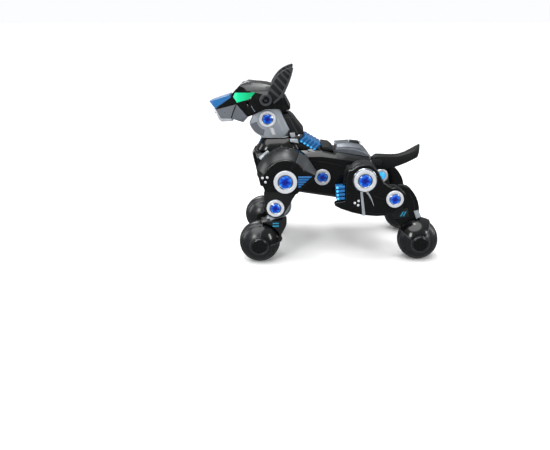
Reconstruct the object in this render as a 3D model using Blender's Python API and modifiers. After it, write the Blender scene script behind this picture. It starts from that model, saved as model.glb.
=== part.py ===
"""Robot dog toy on four ball wheels: torso, neck, head, ears, tail and four two-link legs.

The dog faces -X, its left side is -Y, +Z is up and the balls stand on Z = 0.
Outlines are (x, z) pairs in millimetres, measured from the joint that carries them.
"""
import math

import bmesh
import bpy
from mathutils import Matrix, Vector

MM = 0.001
GAP = 0.3            # air between two pieces that touch
RUN = 0.35           # radial clearance of a pin that turns in its hole

# Driving dimensions, mm
BALL_RADIUS = 35.0           # rolling radius of a foot ball
BALL_HALF_WIDTH = 29.5       # the balls are a little flattened along their axle
BALL_WALL = 2.2
BALL_SPLIT = 3.0             # groove between the two halves of a ball
AXLE_RADIUS = 3.0
TRACK_HALF = 71.0            # centre plane of the dog to the centre of a ball
FENDER_WALL = 1.8
FENDER_CLEAR = 1.2

SHOULDER_X = -66.0
WHEEL_TO_SHOULDER_X = 45.0   # front ball centre to shoulder
FRONT_SHIN = (28.0, 64.5)    # front ball centre to front knee
FRONT_THIGH = (17.0, 45.5)   # front knee to shoulder
SHOULDER_TO_HIP = (132.0, 1.0)
REAR_THIGH = (51.0, -33.0)   # hip to rear knee
REAR_SHIN_X = 45.0           # rear knee to rear ball centre

THIGH_INNER = 52.0           # planes measured from the centre plane of the dog
THIGH_WALL = 2.4
THIGH_BAND = 70.0
THIGH_FACE = 92.0
KNEE_PLATE_INNER = 77.0
KNEE_PLATE_OUTER = 90.0
SHIN_INNER = 58.0
SHIN_OUTER = 76.0
PIVOT_SHAFT_RADIUS = 6.0
PIVOT_DISC_RADIUS = 19.4
HIP_DISC_RADIUS = 18.6
KNEE_DISC_RADIUS = 14.7
KNEE_SHAFT_RADIUS = 4.0
DISC_PROUD = 3.4             # how far a pivot disc stands out from its housing

TORSO_HALF_WIDTH = 42.0
TORSO_WALL = 2.5
JOINT_BOSS_RADIUS = 17.0     # bosses on the torso that the legs turn against
WAIST_DISC_RADIUS = 14.2
WAIST_SHAFT_RADIUS = 4.6
NECK_HALF_WIDTH = 28.0
NECK_WALL = 2.5
NECK_POST_RADIUS = 8.0
NECK_DISC_RADIUS = 14.5
NECK_PIN_RADIUS = 4.6
HEAD_CAVITY_RADIUS = 33.0    # room around the head pivot for the top of the neck
HEAD_HALF_WIDTH = 36.0
HEAD_WALL = 3.0
EAR_THICKNESS = 4.6
EAR_DISC_RADIUS = 10.5
TAIL_HALF_WIDTH = 8.5
TAIL_PIN_RADIUS = 2.5
BUTTON_SIZE = (18.0, 13.0)   # along and across the back
BUTTON_TRAVEL = 1.5
COLLAR_HEIGHT = 21.0

# Joints in the side view
FRONT_BALL = (SHOULDER_X - WHEEL_TO_SHOULDER_X, BALL_RADIUS)
FRONT_KNEE = (FRONT_BALL[0] + FRONT_SHIN[0], FRONT_BALL[1] + FRONT_SHIN[1])
SHOULDER = (FRONT_KNEE[0] + FRONT_THIGH[0], FRONT_KNEE[1] + FRONT_THIGH[1])
HIP = (SHOULDER[0] + SHOULDER_TO_HIP[0], SHOULDER[1] + SHOULDER_TO_HIP[1])
REAR_KNEE = (HIP[0] + REAR_THIGH[0], HIP[1] + REAR_THIGH[1])
REAR_BALL = (REAR_KNEE[0] + REAR_SHIN_X, BALL_RADIUS)
WAIST = (SHOULDER[0] + 64.0, SHOULDER[1] - 6.0)
NECK_PIVOT = (SHOULDER[0] - 30.0, SHOULDER[1] + 94.5)
NECK_TURN_X = SHOULDER[0] - 10.0
EAR_PIVOT = (NECK_PIVOT[0] - 2.0, NECK_PIVOT[1] + 34.5)
TAIL_PIVOT = (HIP[0] + 35.0, HIP[1] + 10.0)

CIRCLE_STEPS = 20
BALL_STEPS = 24


def clear_scene():
    for old in list(bpy.data.objects):
        bpy.data.objects.remove(old, do_unlink=True)


def new_collection(name):
    collection = bpy.data.collections.new(name)
    bpy.context.scene.collection.children.link(collection)
    return collection


def plastic(name, color, roughness, metallic=0.0):
    material = bpy.data.materials.new(name)
    material.use_nodes = True
    shader = material.node_tree.nodes["Principled BSDF"]
    shader.inputs["Base Color"].default_value = (*color, 1.0)
    shader.inputs["Roughness"].default_value = roughness
    shader.inputs["Metallic"].default_value = metallic
    return material


clear_scene()
PARTS = new_collection("robot_dog")
CUTTERS = new_collection("cutters")

GLOSS_BLACK = plastic("gloss_black", (0.008, 0.009, 0.011), 0.18)
SATIN_BLACK = plastic("satin_black", (0.02, 0.021, 0.023), 0.45)
SILVER_GREY = plastic("silver_grey", (0.24, 0.27, 0.3), 0.38, 0.4)
PEARL_WHITE = plastic("pearl_white", (0.8, 0.81, 0.83), 0.22, 0.1)
TRIM_BLUE = plastic("trim_blue", (0.006, 0.16, 0.6), 0.35)
EYE_GREEN = plastic("eye_green", (0.0, 0.75, 0.35), 0.2)
STEEL = plastic("steel", (0.55, 0.56, 0.58), 0.3, 1.0)
BOARD_GREEN = plastic("board_green", (0.02, 0.18, 0.06), 0.5)


def place(obj, material=None):
    """Links an object as a part with its material, or as a hidden cutter without one."""
    if material:
        PARTS.objects.link(obj)
        obj.data.materials.clear()
        obj.data.materials.append(material)
    else:
        CUTTERS.objects.link(obj)
        obj.hide_render = True
        obj.display_type = "WIRE"
    return obj


def put_origin(obj, pivot):
    """Moves a piece's origin onto its joint axis, leaving the piece where it is."""
    shift = Vector(pivot) * MM - obj.location
    turned = obj.matrix_world.to_3x3().inverted() @ shift
    obj.data.transform(Matrix.Translation(-turned))
    obj.location += shift
    return obj


def arc(center, radius, start, end, points):
    """Points of an arc from start to end degrees, counted from +X towards +Z."""
    angles = [start + (end - start) * i / (points - 1) for i in range(points)]
    return [
        (
            center[0] + radius * math.cos(math.radians(a)),
            center[1] + radius * math.sin(math.radians(a)),
        )
        for a in angles
    ]


def at(anchor, outline):
    return [(anchor[0] + x, anchor[1] + z) for x, z in outline]


def inset(outline, distance):
    """The outline moved inwards by a distance, with mitred corners."""
    area = sum(a[0] * b[1] - b[0] * a[1] for a, b in zip(outline, outline[1:] + outline[:1]))
    side = 1.0 if area > 0 else -1.0
    moved = []
    for before, here, after in zip(outline[-1:] + outline[:-1], outline, outline[1:] + outline[:1]):
        first = Vector((here[0] - before[0], here[1] - before[1])).normalized()
        second = Vector((after[0] - here[0], after[1] - here[1])).normalized()
        inward = Vector((-first.y - second.y, first.x + second.x)) * side
        share = max(inward.length_squared / 2.0, 0.4)
        moved.append((here[0] + inward.x * distance / share, here[1] + inward.y * distance / share))
    return moved


def loft(name, rings, material=None):
    """A closed body through rings of equal point counts, in mm, with flat ends."""
    mesh = bpy.data.meshes.new(name)
    shape = bmesh.new()
    made = [[shape.verts.new(Vector(point) * MM) for point in ring] for ring in rings]
    for ring, following in zip(made, made[1:]):
        for i, corner in enumerate(ring):
            k = (i + 1) % len(ring)
            shape.faces.new((corner, ring[k], following[k], following[i]))
    shape.faces.new(made[0][::-1])
    shape.faces.new(made[-1])
    bmesh.ops.recalc_face_normals(shape, faces=shape.faces)
    bmesh.ops.triangulate(shape, faces=[f for f in shape.faces if len(f.verts) > 4])
    shape.to_mesh(mesh)
    shape.free()
    return place(bpy.data.objects.new(name, mesh), material)


def side_loft(name, sections, material=None):
    """A loft whose rings lie in planes of constant y: sections are (y, outline)."""
    return loft(name, [[(x, y, z) for x, z in outline] for y, outline in sections], material)


def plate(name, outline, inner, outer, material=None):
    """A flat outline in the side view, thickened from y = inner to y = outer."""
    curve = bpy.data.curves.new(name + "_outline", "CURVE")
    curve.dimensions = "2D"
    curve.fill_mode = "BOTH"
    curve.extrude = abs(outer - inner) / 2.0 * MM
    line = curve.splines.new("POLY")
    line.points.add(len(outline) - 1)
    for point, (x, z) in zip(line.points, outline):
        point.co = (x * MM, z * MM, 0.0, 1.0)
    line.use_cyclic_u = True
    guide = bpy.data.objects.new(name + "_outline", curve)
    guide.rotation_euler.x = math.radians(90.0)
    guide.location.y = (inner + outer) / 2.0 * MM
    bpy.context.scene.collection.objects.link(guide)
    bpy.context.view_layer.update()
    graph = bpy.context.evaluated_depsgraph_get()
    mesh = bpy.data.meshes.new_from_object(guide.evaluated_get(graph))
    mesh.transform(guide.matrix_world)
    bpy.data.objects.remove(guide, do_unlink=True)
    shape = bmesh.new()
    shape.from_mesh(mesh)
    bmesh.ops.remove_doubles(shape, verts=shape.verts, dist=0.00001)
    bmesh.ops.recalc_face_normals(shape, faces=shape.faces)
    shape.to_mesh(mesh)
    shape.free()
    mesh.name = name
    return place(bpy.data.objects.new(name, mesh), material)


def turned(name, profile, center, side, material=None, steps=CIRCLE_STEPS):
    """A profile of (radius, height) pairs, top to bottom, turned about Y; height grows to the side."""
    mesh = bpy.data.meshes.new(name)
    points = [(r * MM, 0.0, h * MM) for r, h in profile]
    mesh.from_pydata(points, [(i, i + 1) for i in range(len(points) - 1)], [])
    obj = bpy.data.objects.new(name, mesh)
    obj.location = Vector(center) * MM
    obj.rotation_euler.x = math.radians(-90.0 * side)
    screw = obj.modifiers.new("turn", "SCREW")
    screw.steps = steps
    screw.render_steps = steps
    screw.use_merge_vertices = True
    screw.merge_threshold = 0.00001
    screw.use_smooth_shade = True
    return place(obj, material)


def rod(name, center, radius, inner, outer, material=None, steps=CIRCLE_STEPS):
    """A round bar along Y between two planes at this place in the side view."""
    half = abs(outer - inner) / 2.0
    profile = [(0.0, half), (radius, half), (radius, -half), (0.0, -half)]
    middle = (center[0], (inner + outer) / 2.0, center[1])
    return turned(name, profile, middle, 1.0, material, steps)


def block(name, low, high, material=None):
    bpy.ops.mesh.primitive_cube_add(size=1.0)
    obj = bpy.context.object
    obj.name = name
    obj.data.name = name
    size = (Vector(high) - Vector(low)) * MM
    obj.data.transform(Matrix.Diagonal((*size, 1.0)))
    obj.location = (Vector(high) + Vector(low)) / 2.0 * MM
    for owner in list(obj.users_collection):
        owner.objects.unlink(obj)
    return place(obj, material)


def boolean(obj, other, operation):
    modifier = obj.modifiers.new(other.name, "BOOLEAN")
    modifier.operation = operation
    modifier.object = other
    return obj


def cut(obj, other):
    return boolean(obj, other, "DIFFERENCE")


def join(obj, other):
    return boolean(obj, other, "UNION")


def keep(obj, other):
    return boolean(obj, other, "INTERSECT")


def scaled(outline, share_x, share_z):
    """The outline drawn in towards the middle of its box."""
    xs, zs = zip(*outline)
    mid = ((min(xs) + max(xs)) / 2.0, (min(zs) + max(zs)) / 2.0)
    return [(mid[0] + (x - mid[0]) * share_x, mid[1] + (z - mid[1]) * share_z) for x, z in outline]


# ---- torso -------------------------------------------------------------------

def near_shoulder(*outline):
    return at(SHOULDER, outline)


def near_hip(*outline):
    return at(HIP, outline)


BACK_FRONT = near_shoulder((64.5, 39.0))[0]      # top of the torso, where the slope to the tail starts
BACK_REAR = near_hip((18.0, 22.0))[0]
BELLY_FRONT = near_shoulder((20.0, -36.0))[0]
BELLY_REAR = near_hip((-26.0, -51.0))[0]
CHEST_TOP = near_shoulder((-53.0, 37.0))[0]
CHEST_LOW = near_shoulder((-39.0, -27.0))[0]

TORSO_OUTLINE = (
    near_shoulder((-51.0, 39.0))
    + [BACK_FRONT, BACK_REAR]
    + near_hip((18.0, -34.0), (4.0, -46.0))
    + [BELLY_REAR, BELLY_FRONT]
    + near_shoulder((-28.0, -37.0))
    + [CHEST_LOW, CHEST_TOP]
)


def along(start, end, share, lift=0.0):
    """A point between two others, lifted off the line to its left by some millimetres."""
    run = Vector((end[0] - start[0], end[1] - start[1]))
    left = Vector((-run.y, run.x)).normalized() * lift
    return (start[0] + run.x * share + left.x, start[1] + run.y * share + left.y)


def make_torso():
    cavity = inset(TORSO_OUTLINE, TORSO_WALL)
    for name, side in (("torso_shell_left", -1.0), ("torso_shell_right", 1.0)):
        shell = side_loft(
            name,
            [
                (side * GAP / 2.0, TORSO_OUTLINE),
                (side * (TORSO_HALF_WIDTH - 12.0), TORSO_OUTLINE),
                (side * TORSO_HALF_WIDTH, scaled(TORSO_OUTLINE, 0.95, 0.8)),
            ],
            GLOSS_BLACK,
        )
        hollow = side_loft(
            name + "_cavity",
            [
                (-side * 5.0, cavity),
                (side * (TORSO_HALF_WIDTH - 12.0 - TORSO_WALL), cavity),
                (side * (TORSO_HALF_WIDTH - TORSO_WALL), scaled(cavity, 0.95, 0.8)),
            ],
        )
        cut(shell, hollow)
        for label, pivot in (("shoulder", SHOULDER), ("hip", HIP)):
            inner, outer = TORSO_HALF_WIDTH - 5.0, THIGH_INNER - 2.0 * GAP
            circle = arc(pivot, JOINT_BOSS_RADIUS, 5.0, 347.0, CIRCLE_STEPS)
            join(shell, plate(f"{name}_{label}_boss", circle, side * inner, side * outer))
        for label, place_at, radius in (
            ("shoulder", SHOULDER, PIVOT_SHAFT_RADIUS),
            ("hip", HIP, PIVOT_SHAFT_RADIUS),
            ("waist", WAIST, WAIST_SHAFT_RADIUS),
        ):
            hole = rod(f"{name}_{label}_hole", place_at, radius + RUN, side * 20.0, side * 60.0)
            cut(shell, hole)

    plate(
        "chest_plate",
        [
            along(CHEST_LOW, CHEST_TOP, 1.0, GAP),
            along(CHEST_LOW, CHEST_TOP, 0.97, 4.0),
            along(CHEST_LOW, CHEST_TOP, 0.05, 4.0),
            along(CHEST_LOW, CHEST_TOP, 0.0, GAP),
        ],
        -26.0,
        26.0,
        PEARL_WHITE,
    )

    base = SHOULDER[1] + 39.0 + GAP
    top = base + COLLAR_HEIGHT
    rear = SHOULDER[0] + 27.0
    front = SHOULDER[0] - 50.0

    def ring(z, x_front, x_rear, half, corner):
        return [
            (x_front, half - corner, z), (x_front + corner, half, z),
            (x_rear - corner, half, z), (x_rear, half - corner, z),
            (x_rear, corner - half, z), (x_rear - corner, -half, z),
            (x_front + corner, -half, z), (x_front, corner - half, z),
        ]

    collar = loft(
        "chest_collar",
        [
            ring(base, front, rear, 37.0, 12.0),
            ring(base + 3.0, front, rear, 37.0, 12.0),
            ring(top - 2.0, front + 8.0, rear - 8.0, 29.0, 10.0),
            ring(top, front + 10.0, rear - 9.0, 27.0, 10.0),
        ],
        GLOSS_BLACK,
    )
    post_hole = block_cylinder(
        "neck_post_hole", (NECK_TURN_X, 0.0), NECK_POST_RADIUS + RUN, base - 5.0, top + 5.0
    )
    cut(collar, post_hole)
    return top


def block_cylinder(name, center, radius, low, high, material=None, steps=CIRCLE_STEPS):
    """An upright round bar at (x, y) between two heights."""
    bpy.ops.mesh.primitive_cylinder_add(vertices=steps, radius=radius * MM, depth=(high - low) * MM)
    obj = bpy.context.object
    obj.name = name
    obj.data.name = name
    obj.location = (center[0] * MM, center[1] * MM, (low + high) / 2.0 * MM)
    for owner in list(obj.users_collection):
        owner.objects.unlink(obj)
    return place(obj, material)


def make_back():
    """The blue bellows behind the neck, the back cover, the switch housing and its button."""
    back = SHOULDER[1] + 39.0
    low = back + GAP
    start = (SHOULDER[0] + 34.6, back + 25.0)
    end = (SHOULDER[0] + 62.5, back + 8.0)
    ribs = []
    for i in range(5):
        ribs += [
            along(start, end, i / 5.0 + 0.02, -1.8),
            along(start, end, i / 5.0 + 0.05, 0.6),
            along(start, end, i / 5.0 + 0.14, 0.6),
            along(start, end, i / 5.0 + 0.17, -1.8),
        ]
    collar_rear = SHOULDER[0] + 27.0 + 1.0
    bellows = [(collar_rear, low), (collar_rear, low + 3.5), (collar_rear - 5.5, low + 15.0)] + ribs
    bellows += [(SHOULDER[0] + 62.8, back + 6.0), (SHOULDER[0] + 62.8, low)]
    waist = [(max(x, collar_rear + (x - collar_rear) * 0.4), low + (z - low) * 0.55) for x, z in bellows]
    side_loft(
        "neck_bellows",
        [(-24.0, waist), (-15.0, bellows), (15.0, bellows), (24.0, waist)],
        TRIM_BLUE,
    )

    cover = [
        (SHOULDER[0] + 63.3, low),
        (SHOULDER[0] + 63.3, back + 9.0),
        (SHOULDER[0] + 77.0, back + 6.0),
        along(BACK_FRONT, BACK_REAR, 0.24, GAP),
        along(BACK_FRONT, BACK_REAR, 0.02, GAP),
    ]
    side_loft(
        "back_cover",
        [(-30.0, scaled(cover, 1.0, 0.7)), (-22.0, cover), (22.0, cover), (30.0, scaled(cover, 1.0, 0.7))],
        SATIN_BLACK,
    )
    seat = SHOULDER[1] + 49.0
    housing = [
        along(BACK_FRONT, BACK_REAR, 0.265, GAP),
        along(BACK_FRONT, BACK_REAR, 0.265, 7.0),
        (HIP[0] - 42.0, seat - 2.0),
        (HIP[0] - 21.0, seat - 0.4),
        (HIP[0] - 0.5, seat - 4.0),
        along(BACK_FRONT, BACK_REAR, 0.985, 3.0),
        along(BACK_FRONT, BACK_REAR, 0.99, GAP),
    ]
    lowered = [
        (x, z - max(0.0, z - (SHOULDER[1] + 32.0)) * 0.3) for x, z in inset(housing, 0.8)
    ]
    shell = side_loft(
        "switch_housing",
        [(-22.0, lowered), (-15.0, housing), (15.0, housing), (22.0, lowered)],
        SILVER_GREY,
    )
    middle = HIP[0] - 9.0
    reach = BUTTON_SIZE[0] / 2.0
    half = BUTTON_SIZE[1] / 2.0
    floor = seat - 9.0
    pocket = block(
        "button_pocket",
        (middle - reach - GAP, -half - GAP, floor),
        (middle + reach + GAP, half + GAP, seat + 20.0),
    )
    cut(shell, pocket)
    button = plate(
        "power_button",
        [
            (middle - reach, floor + BUTTON_TRAVEL + 0.5),
            (middle - reach, seat),
            (middle - reach + 1.5, seat + 1.5),
            (middle + reach - 1.5, seat - 0.3),
            (middle + reach, seat - 1.8),
            (middle + reach, floor + BUTTON_TRAVEL + 0.5),
        ],
        -half,
        half,
        SATIN_BLACK,
    )
    put_origin(button, (middle, 0.0, floor))


def make_inside():
    """Drive units, battery, speaker and board inside the torso."""
    half = 28.0
    for name, pivot, span in (("gearbox_front", SHOULDER, 24.0), ("gearbox_rear", HIP, 16.0)):
        box = block(
            name,
            (pivot[0] - span, -half, pivot[1] - 22.0),
            (pivot[0] + min(span, 15.0), half, pivot[1] + 19.0),
            SATIN_BLACK,
        )
        bore = rod(name + "_bore", pivot, PIVOT_SHAFT_RADIUS + RUN, -half - 5.0, half + 5.0)
        cut(box, bore)
    low = SHOULDER[1] - 33.0
    block("battery_pack", (WAIST[0] - 30.0, -20.0, low), (WAIST[0] + 30.0, 20.0, low + 19.0), TRIM_BLUE)
    block(
        "circuit_board",
        (WAIST[0] - 36.0, -26.0, SHOULDER[1] + 26.0),
        (WAIST[0] + 30.0, 26.0, SHOULDER[1] + 27.6),
        BOARD_GREEN,
    )
    cone = [(0.0, 6.0), (15.0, 6.0), (15.0, 3.0), (8.0, -3.0), (8.0, -6.0), (0.0, -6.0)]
    speaker = turned("speaker", cone, (SHOULDER[0] - 33.0, 0.0, SHOULDER[1] + 1.0), 1.0, STEEL)
    speaker.rotation_euler = (0.0, math.radians(-90.0), 0.0)

    proud = TORSO_HALF_WIDTH + GAP
    waist = [
        (0.0, proud + 5.0), (9.0, proud + 4.6), (WAIST_DISC_RADIUS - 1.5, proud + 4.0),
        (WAIST_DISC_RADIUS, proud + 2.4), (WAIST_DISC_RADIUS, proud),
        (WAIST_SHAFT_RADIUS, proud), (WAIST_SHAFT_RADIUS, -proud),
        (WAIST_DISC_RADIUS, -proud), (WAIST_DISC_RADIUS, -proud - 2.4),
        (WAIST_DISC_RADIUS - 1.5, -proud - 4.0), (9.0, -proud - 4.6), (0.0, -proud - 5.0),
    ]
    turned("waist_pin", waist, (WAIST[0], 0.0, WAIST[1]), 1.0, PEARL_WHITE)

    plate(
        "battery_door",
        [
            along(BELLY_FRONT, BELLY_REAR, 0.06, -GAP),
            along(BELLY_FRONT, BELLY_REAR, 0.06, -1.6),
            along(BELLY_FRONT, BELLY_REAR, 0.09, -2.5),
            along(BELLY_FRONT, BELLY_REAR, 0.77, -2.5),
            along(BELLY_FRONT, BELLY_REAR, 0.80, -1.6),
            along(BELLY_FRONT, BELLY_REAR, 0.80, -GAP),
        ],
        -22.0,
        22.0,
        SATIN_BLACK,
    )


def make_tail():
    wall = BACK_REAR[0] + GAP
    ear = TAIL_HALF_WIDTH + 0.8
    bracket = block(
        "tail_bracket",
        (wall, -ear - 3.0, TAIL_PIVOT[1] - 15.0),
        (wall + 2.2, ear + 3.0, TAIL_PIVOT[1] + 11.0),
        SILVER_GREY,
    )
    for label, side in (("left", -1.0), ("right", 1.0)):
        lug = [(wall + 1.0, TAIL_PIVOT[1] - 7.0), (wall + 1.0, TAIL_PIVOT[1] + 7.0)]
        lug += arc(TAIL_PIVOT, 6.0, 80.0, -80.0, 7)
        join(bracket, plate(f"tail_lug_{label}", lug, side * ear, side * (ear + 2.6)))
    join(bracket, rod("tail_hinge_pin", TAIL_PIVOT, TAIL_PIN_RADIUS, -ear - 1.0, ear + 1.0, steps=16))

    round_end = arc((0.0, 0.0), 13.5, 250.0, 100.0, 8)
    outline = at(TAIL_PIVOT, round_end + [
        (18.0, 12.6), (38.0, 13.4), (57.0, 22.0), (74.0, 31.4),
        (73.5, 24.0), (70.5, 9.5), (51.5, -2.8), (24.5, -12.0),
    ])
    narrow = at(TAIL_PIVOT, arc((0.0, 0.0), 10.5, 250.0, 100.0, 8) + [
        (18.0, 9.5), (37.0, 10.0), (57.0, 18.5), (73.0, 29.0),
        (71.5, 22.0), (68.5, 11.5), (50.0, 1.0), (24.0, -8.5),
    ])
    tail = side_loft(
        "tail",
        [
            (-TAIL_HALF_WIDTH, narrow), (-TAIL_HALF_WIDTH + 4.0, outline),
            (TAIL_HALF_WIDTH - 4.0, outline), (TAIL_HALF_WIDTH, narrow),
        ],
        SATIN_BLACK,
    )
    cut(tail, rod("tail_bore", TAIL_PIVOT, TAIL_PIN_RADIUS + RUN, -30.0, 30.0, steps=16))
    put_origin(tail, (TAIL_PIVOT[0], 0.0, TAIL_PIVOT[1]))


# ---- neck and head -----------------------------------------------------------

def make_neck(collar_top):
    foot = collar_top - NECK_PIVOT[1] + GAP
    outline = at(NECK_PIVOT, [
        (-30.0, -4.0), (-25.5, 8.0), (-8.0, 18.5), (19.5, 18.5),
        (37.5, -19.5), (30.0, foot + 4.0), (24.0, foot), (-10.0, foot), (-26.0, -18.0),
    ])
    narrow = [(x, z) for x, z in inset(outline, 1.5)]
    half = NECK_HALF_WIDTH
    shell = side_loft(
        "neck_shell",
        [(-half, narrow), (-half + 3.0, outline), (half - 3.0, outline), (half, narrow)],
        SILVER_GREY,
    )
    hollow = at(NECK_PIVOT, [
        (-26.0, -5.0), (-12.0, 40.0), (16.0, 40.0), (17.0, 16.0), (32.0, -17.0), (-8.0, foot + 8.0),
    ])
    cut(shell, plate("neck_cavity", hollow, -half + NECK_WALL, half - NECK_WALL))
    cut(shell, rod("neck_pin_hole", NECK_PIVOT, NECK_PIN_RADIUS + GAP, -60.0, 60.0))
    post = block_cylinder(
        "neck_post", (NECK_TURN_X, 0.0), NECK_POST_RADIUS, collar_top - COLLAR_HEIGHT + 2.0, collar_top + 5.0
    )
    join(shell, post)
    put_origin(shell, (NECK_TURN_X, 0.0, collar_top))

    spine = at(NECK_PIVOT, [
        (20.4, 17.5), (29.0, 17.5), (34.0, 11.0), (57.0, -20.0), (62.5, -23.0),
        (63.0, foot + 2.0), (42.0, foot + 1.5), (38.4, -19.8),
    ])
    side_loft(
        "neck_spine",
        [(-14.0, inset(spine, 1.2)), (-11.0, spine), (11.0, spine), (14.0, inset(spine, 1.2))],
        GLOSS_BLACK,
    )
    proud = half + GAP
    pin = [
        (0.0, proud + 4.4), (8.0, proud + 4.2), (NECK_DISC_RADIUS - 1.5, proud + 3.4),
        (NECK_DISC_RADIUS, proud + 2.2), (NECK_DISC_RADIUS, proud),
        (NECK_PIN_RADIUS, proud), (NECK_PIN_RADIUS, -proud),
        (NECK_DISC_RADIUS, -proud), (NECK_DISC_RADIUS, -proud - 2.2),
        (NECK_DISC_RADIUS - 1.5, -proud - 3.4), (8.0, -proud - 4.2), (0.0, -proud - 4.4),
    ]
    turned("neck_pin", pin, (NECK_PIVOT[0], 0.0, NECK_PIVOT[1]), 1.0, PEARL_WHITE)


HEAD_PLAN = (  # half width of the head at each x, counted from the neck pivot
    (-102.0, 9.0), (-94.0, 16.5), (-82.0, 19.5), (-54.0, 23.0),
    (-33.0, 32.0), (-9.0, HEAD_HALF_WIDTH), (26.0, HEAD_HALF_WIDTH), (46.0, 26.0),
)


def head_plan_prism(name, proud=0.0):
    """The head's outline from above, as an upright prism that its pieces are cut to."""
    edge = [(NECK_PIVOT[0] + x, half + proud) for x, half in HEAD_PLAN]
    ring = edge + [(x, -y) for x, y in reversed(edge)]
    low, high = NECK_PIVOT[1] - 60.0, NECK_PIVOT[1] + 110.0
    return loft(name, [[(x, y, low) for x, y in ring], [(x, y, high) for x, y in ring]])


HEAD_FRONT = (  # half width of the head at each height, counted from the neck pivot
    (-10.0, 15.0), (3.0, 29.0), (10.0, 34.0), (18.0, 36.5), (43.0, 36.5), (55.0, 28.5), (64.5, 15.0),
)


def head_front_prism():
    """The head's outline from the front, as a prism along X that its pieces are cut to."""
    edge = [(half, NECK_PIVOT[1] + z) for z, half in HEAD_FRONT]
    ring = edge + [(-y, z) for y, z in reversed(edge)]
    near, far = NECK_PIVOT[0] + 80.0, NECK_PIVOT[0] - 120.0
    return loft("head_front", [[(far, y, z) for y, z in ring], [(near, y, z) for y, z in ring]])


NOSE = [(-101.0, 28.5), (-65.5, 40.0), (-62.6, 36.2), (-90.5, 17.2)]
MUZZLE = [(-89.0, 15.0), (-53.2, 24.9), (-33.6, 3.4), (-42.7, -7.6), (-62.0, 0.1), (-80.2, 0.1)]
MOUTH = [
    (-92.2, 16.4), (-89.5, 15.4), (-80.7, -0.3), (-62.2, -0.3),
    (-60.5, -4.9), (-80.0, -6.0), (-84.8, -1.6),
]
EYE = [(-58.6, 37.6), (-55.0, 44.8), (-19.8, 46.4), (-29.4, 35.2), (-52.0, 27.8)]
SKULL = [
    (-62.0, 40.7), (-44.5, 59.0), (-33.7, 62.8), (-3.0, 59.0), (7.0, 56.4), (27.0, 36.5),
    (37.6, 15.5), (19.0, 18.1), (-3.0, 18.1), (-22.4, 9.2), (-32.8, 4.0),
    (-52.4, 25.5), (-89.6, 16.4), (-62.2, 36.0),
]


def head_hollow_prism():
    """The head's front outline drawn in by its wall."""
    edge = [(half - HEAD_WALL * 1.4, NECK_PIVOT[1] + z - HEAD_WALL) for z, half in HEAD_FRONT]
    ring = edge + [(-y, z) for y, z in reversed(edge)]
    near, far = NECK_PIVOT[0] + 80.0, NECK_PIVOT[0] - 120.0
    return loft("head_hollow", [[(far, y, z) for y, z in ring], [(near, y, z) for y, z in ring]])


def make_head():
    plan = head_plan_prism("head_plan")
    front = head_front_prism()
    brain = at(NECK_PIVOT, [
        (-38.0, 30.0), (-36.0, 53.0), (-30.0, 59.0), (-4.0, 55.4), (4.0, 53.0), (22.0, 35.0),
        (30.0, 21.0), (10.0, 12.0), (-20.0, 14.0),
    ])
    hollow = keep(plate("brain_cavity", brain, -33.0, 33.0), head_hollow_prism())
    room = rod("head_cavity", NECK_PIVOT, HEAD_CAVITY_RADIUS, -NECK_HALF_WIDTH - 0.6, NECK_HALF_WIDTH + 0.6)
    slot = rod("spine_slot", NECK_PIVOT, HEAD_CAVITY_RADIUS + 6.0, -15.5, 15.5)
    for name, outline, material in (
        ("head_shell", SKULL, GLOSS_BLACK),
        ("muzzle", MUZZLE, SILVER_GREY),
        ("mouth_plate", MOUTH, PEARL_WHITE),
        ("nose_cap", NOSE, TRIM_BLUE),
    ):
        piece = plate(name, at(NECK_PIVOT, outline), -60.0, 60.0, material)
        keep(piece, plan)
        keep(piece, front)
        if name in ("head_shell", "muzzle"):
            cut(piece, room)
        if name == "head_shell":
            cut(piece, slot)
            cut(piece, hollow)
            for side in (-1.0, 1.0):
                pocket = at(NECK_PIVOT, inset(EYE, -GAP))
                cut(piece, plate(f"eye_pocket{side:+.0f}", pocket, side * 12.0, side * 60.0))
                hole = rod(f"ear_hole{side:+.0f}", EAR_PIVOT, 3.0 + RUN, side * 30.0, side * 50.0, steps=16)
                cut(piece, hole)
        put_origin(piece, (NECK_PIVOT[0], 0.0, NECK_PIVOT[1]))

    lens_plan = head_plan_prism("lens_plan", 0.5)
    for label, side in (("left", -1.0), ("right", 1.0)):
        eye = plate("eye_" + label, at(NECK_PIVOT, EYE), side * 12.4, side * 60.0, EYE_GREEN)
        keep(eye, lens_plan)
        put_origin(eye, (NECK_PIVOT[0], 0.0, NECK_PIVOT[1]))

        inner = side * (HEAD_HALF_WIDTH + 0.5)
        outer = side * (HEAD_HALF_WIDTH + 0.5 + EAR_THICKNESS)
        leaf = at(EAR_PIVOT, [
            (2.0, 8.0), (8.0, 25.5), (18.5, 40.5), (30.0, 49.0), (44.0, 55.0), (46.5, 53.0),
            (44.0, 40.6), (37.4, 22.6), (29.0, 5.0), (22.0, 2.5), (6.0, -6.0),
        ])
        ear = plate("ear_" + label, leaf, inner, outer, SATIN_BLACK)
        boss = [
            (0.0, EAR_THICKNESS + 1.2), (EAR_DISC_RADIUS - 1.5, EAR_THICKNESS + 1.2),
            (EAR_DISC_RADIUS, EAR_THICKNESS), (EAR_DISC_RADIUS, -0.2),
            (3.0, -0.2), (3.0, -5.0), (0.0, -5.0),
        ]
        join(ear, turned(f"ear_boss_{label}", boss, (EAR_PIVOT[0], inner, EAR_PIVOT[1]), side))
        put_origin(ear, (EAR_PIVOT[0], side * HEAD_HALF_WIDTH, EAR_PIVOT[1]))


# ---- legs --------------------------------------------------------------------

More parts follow.
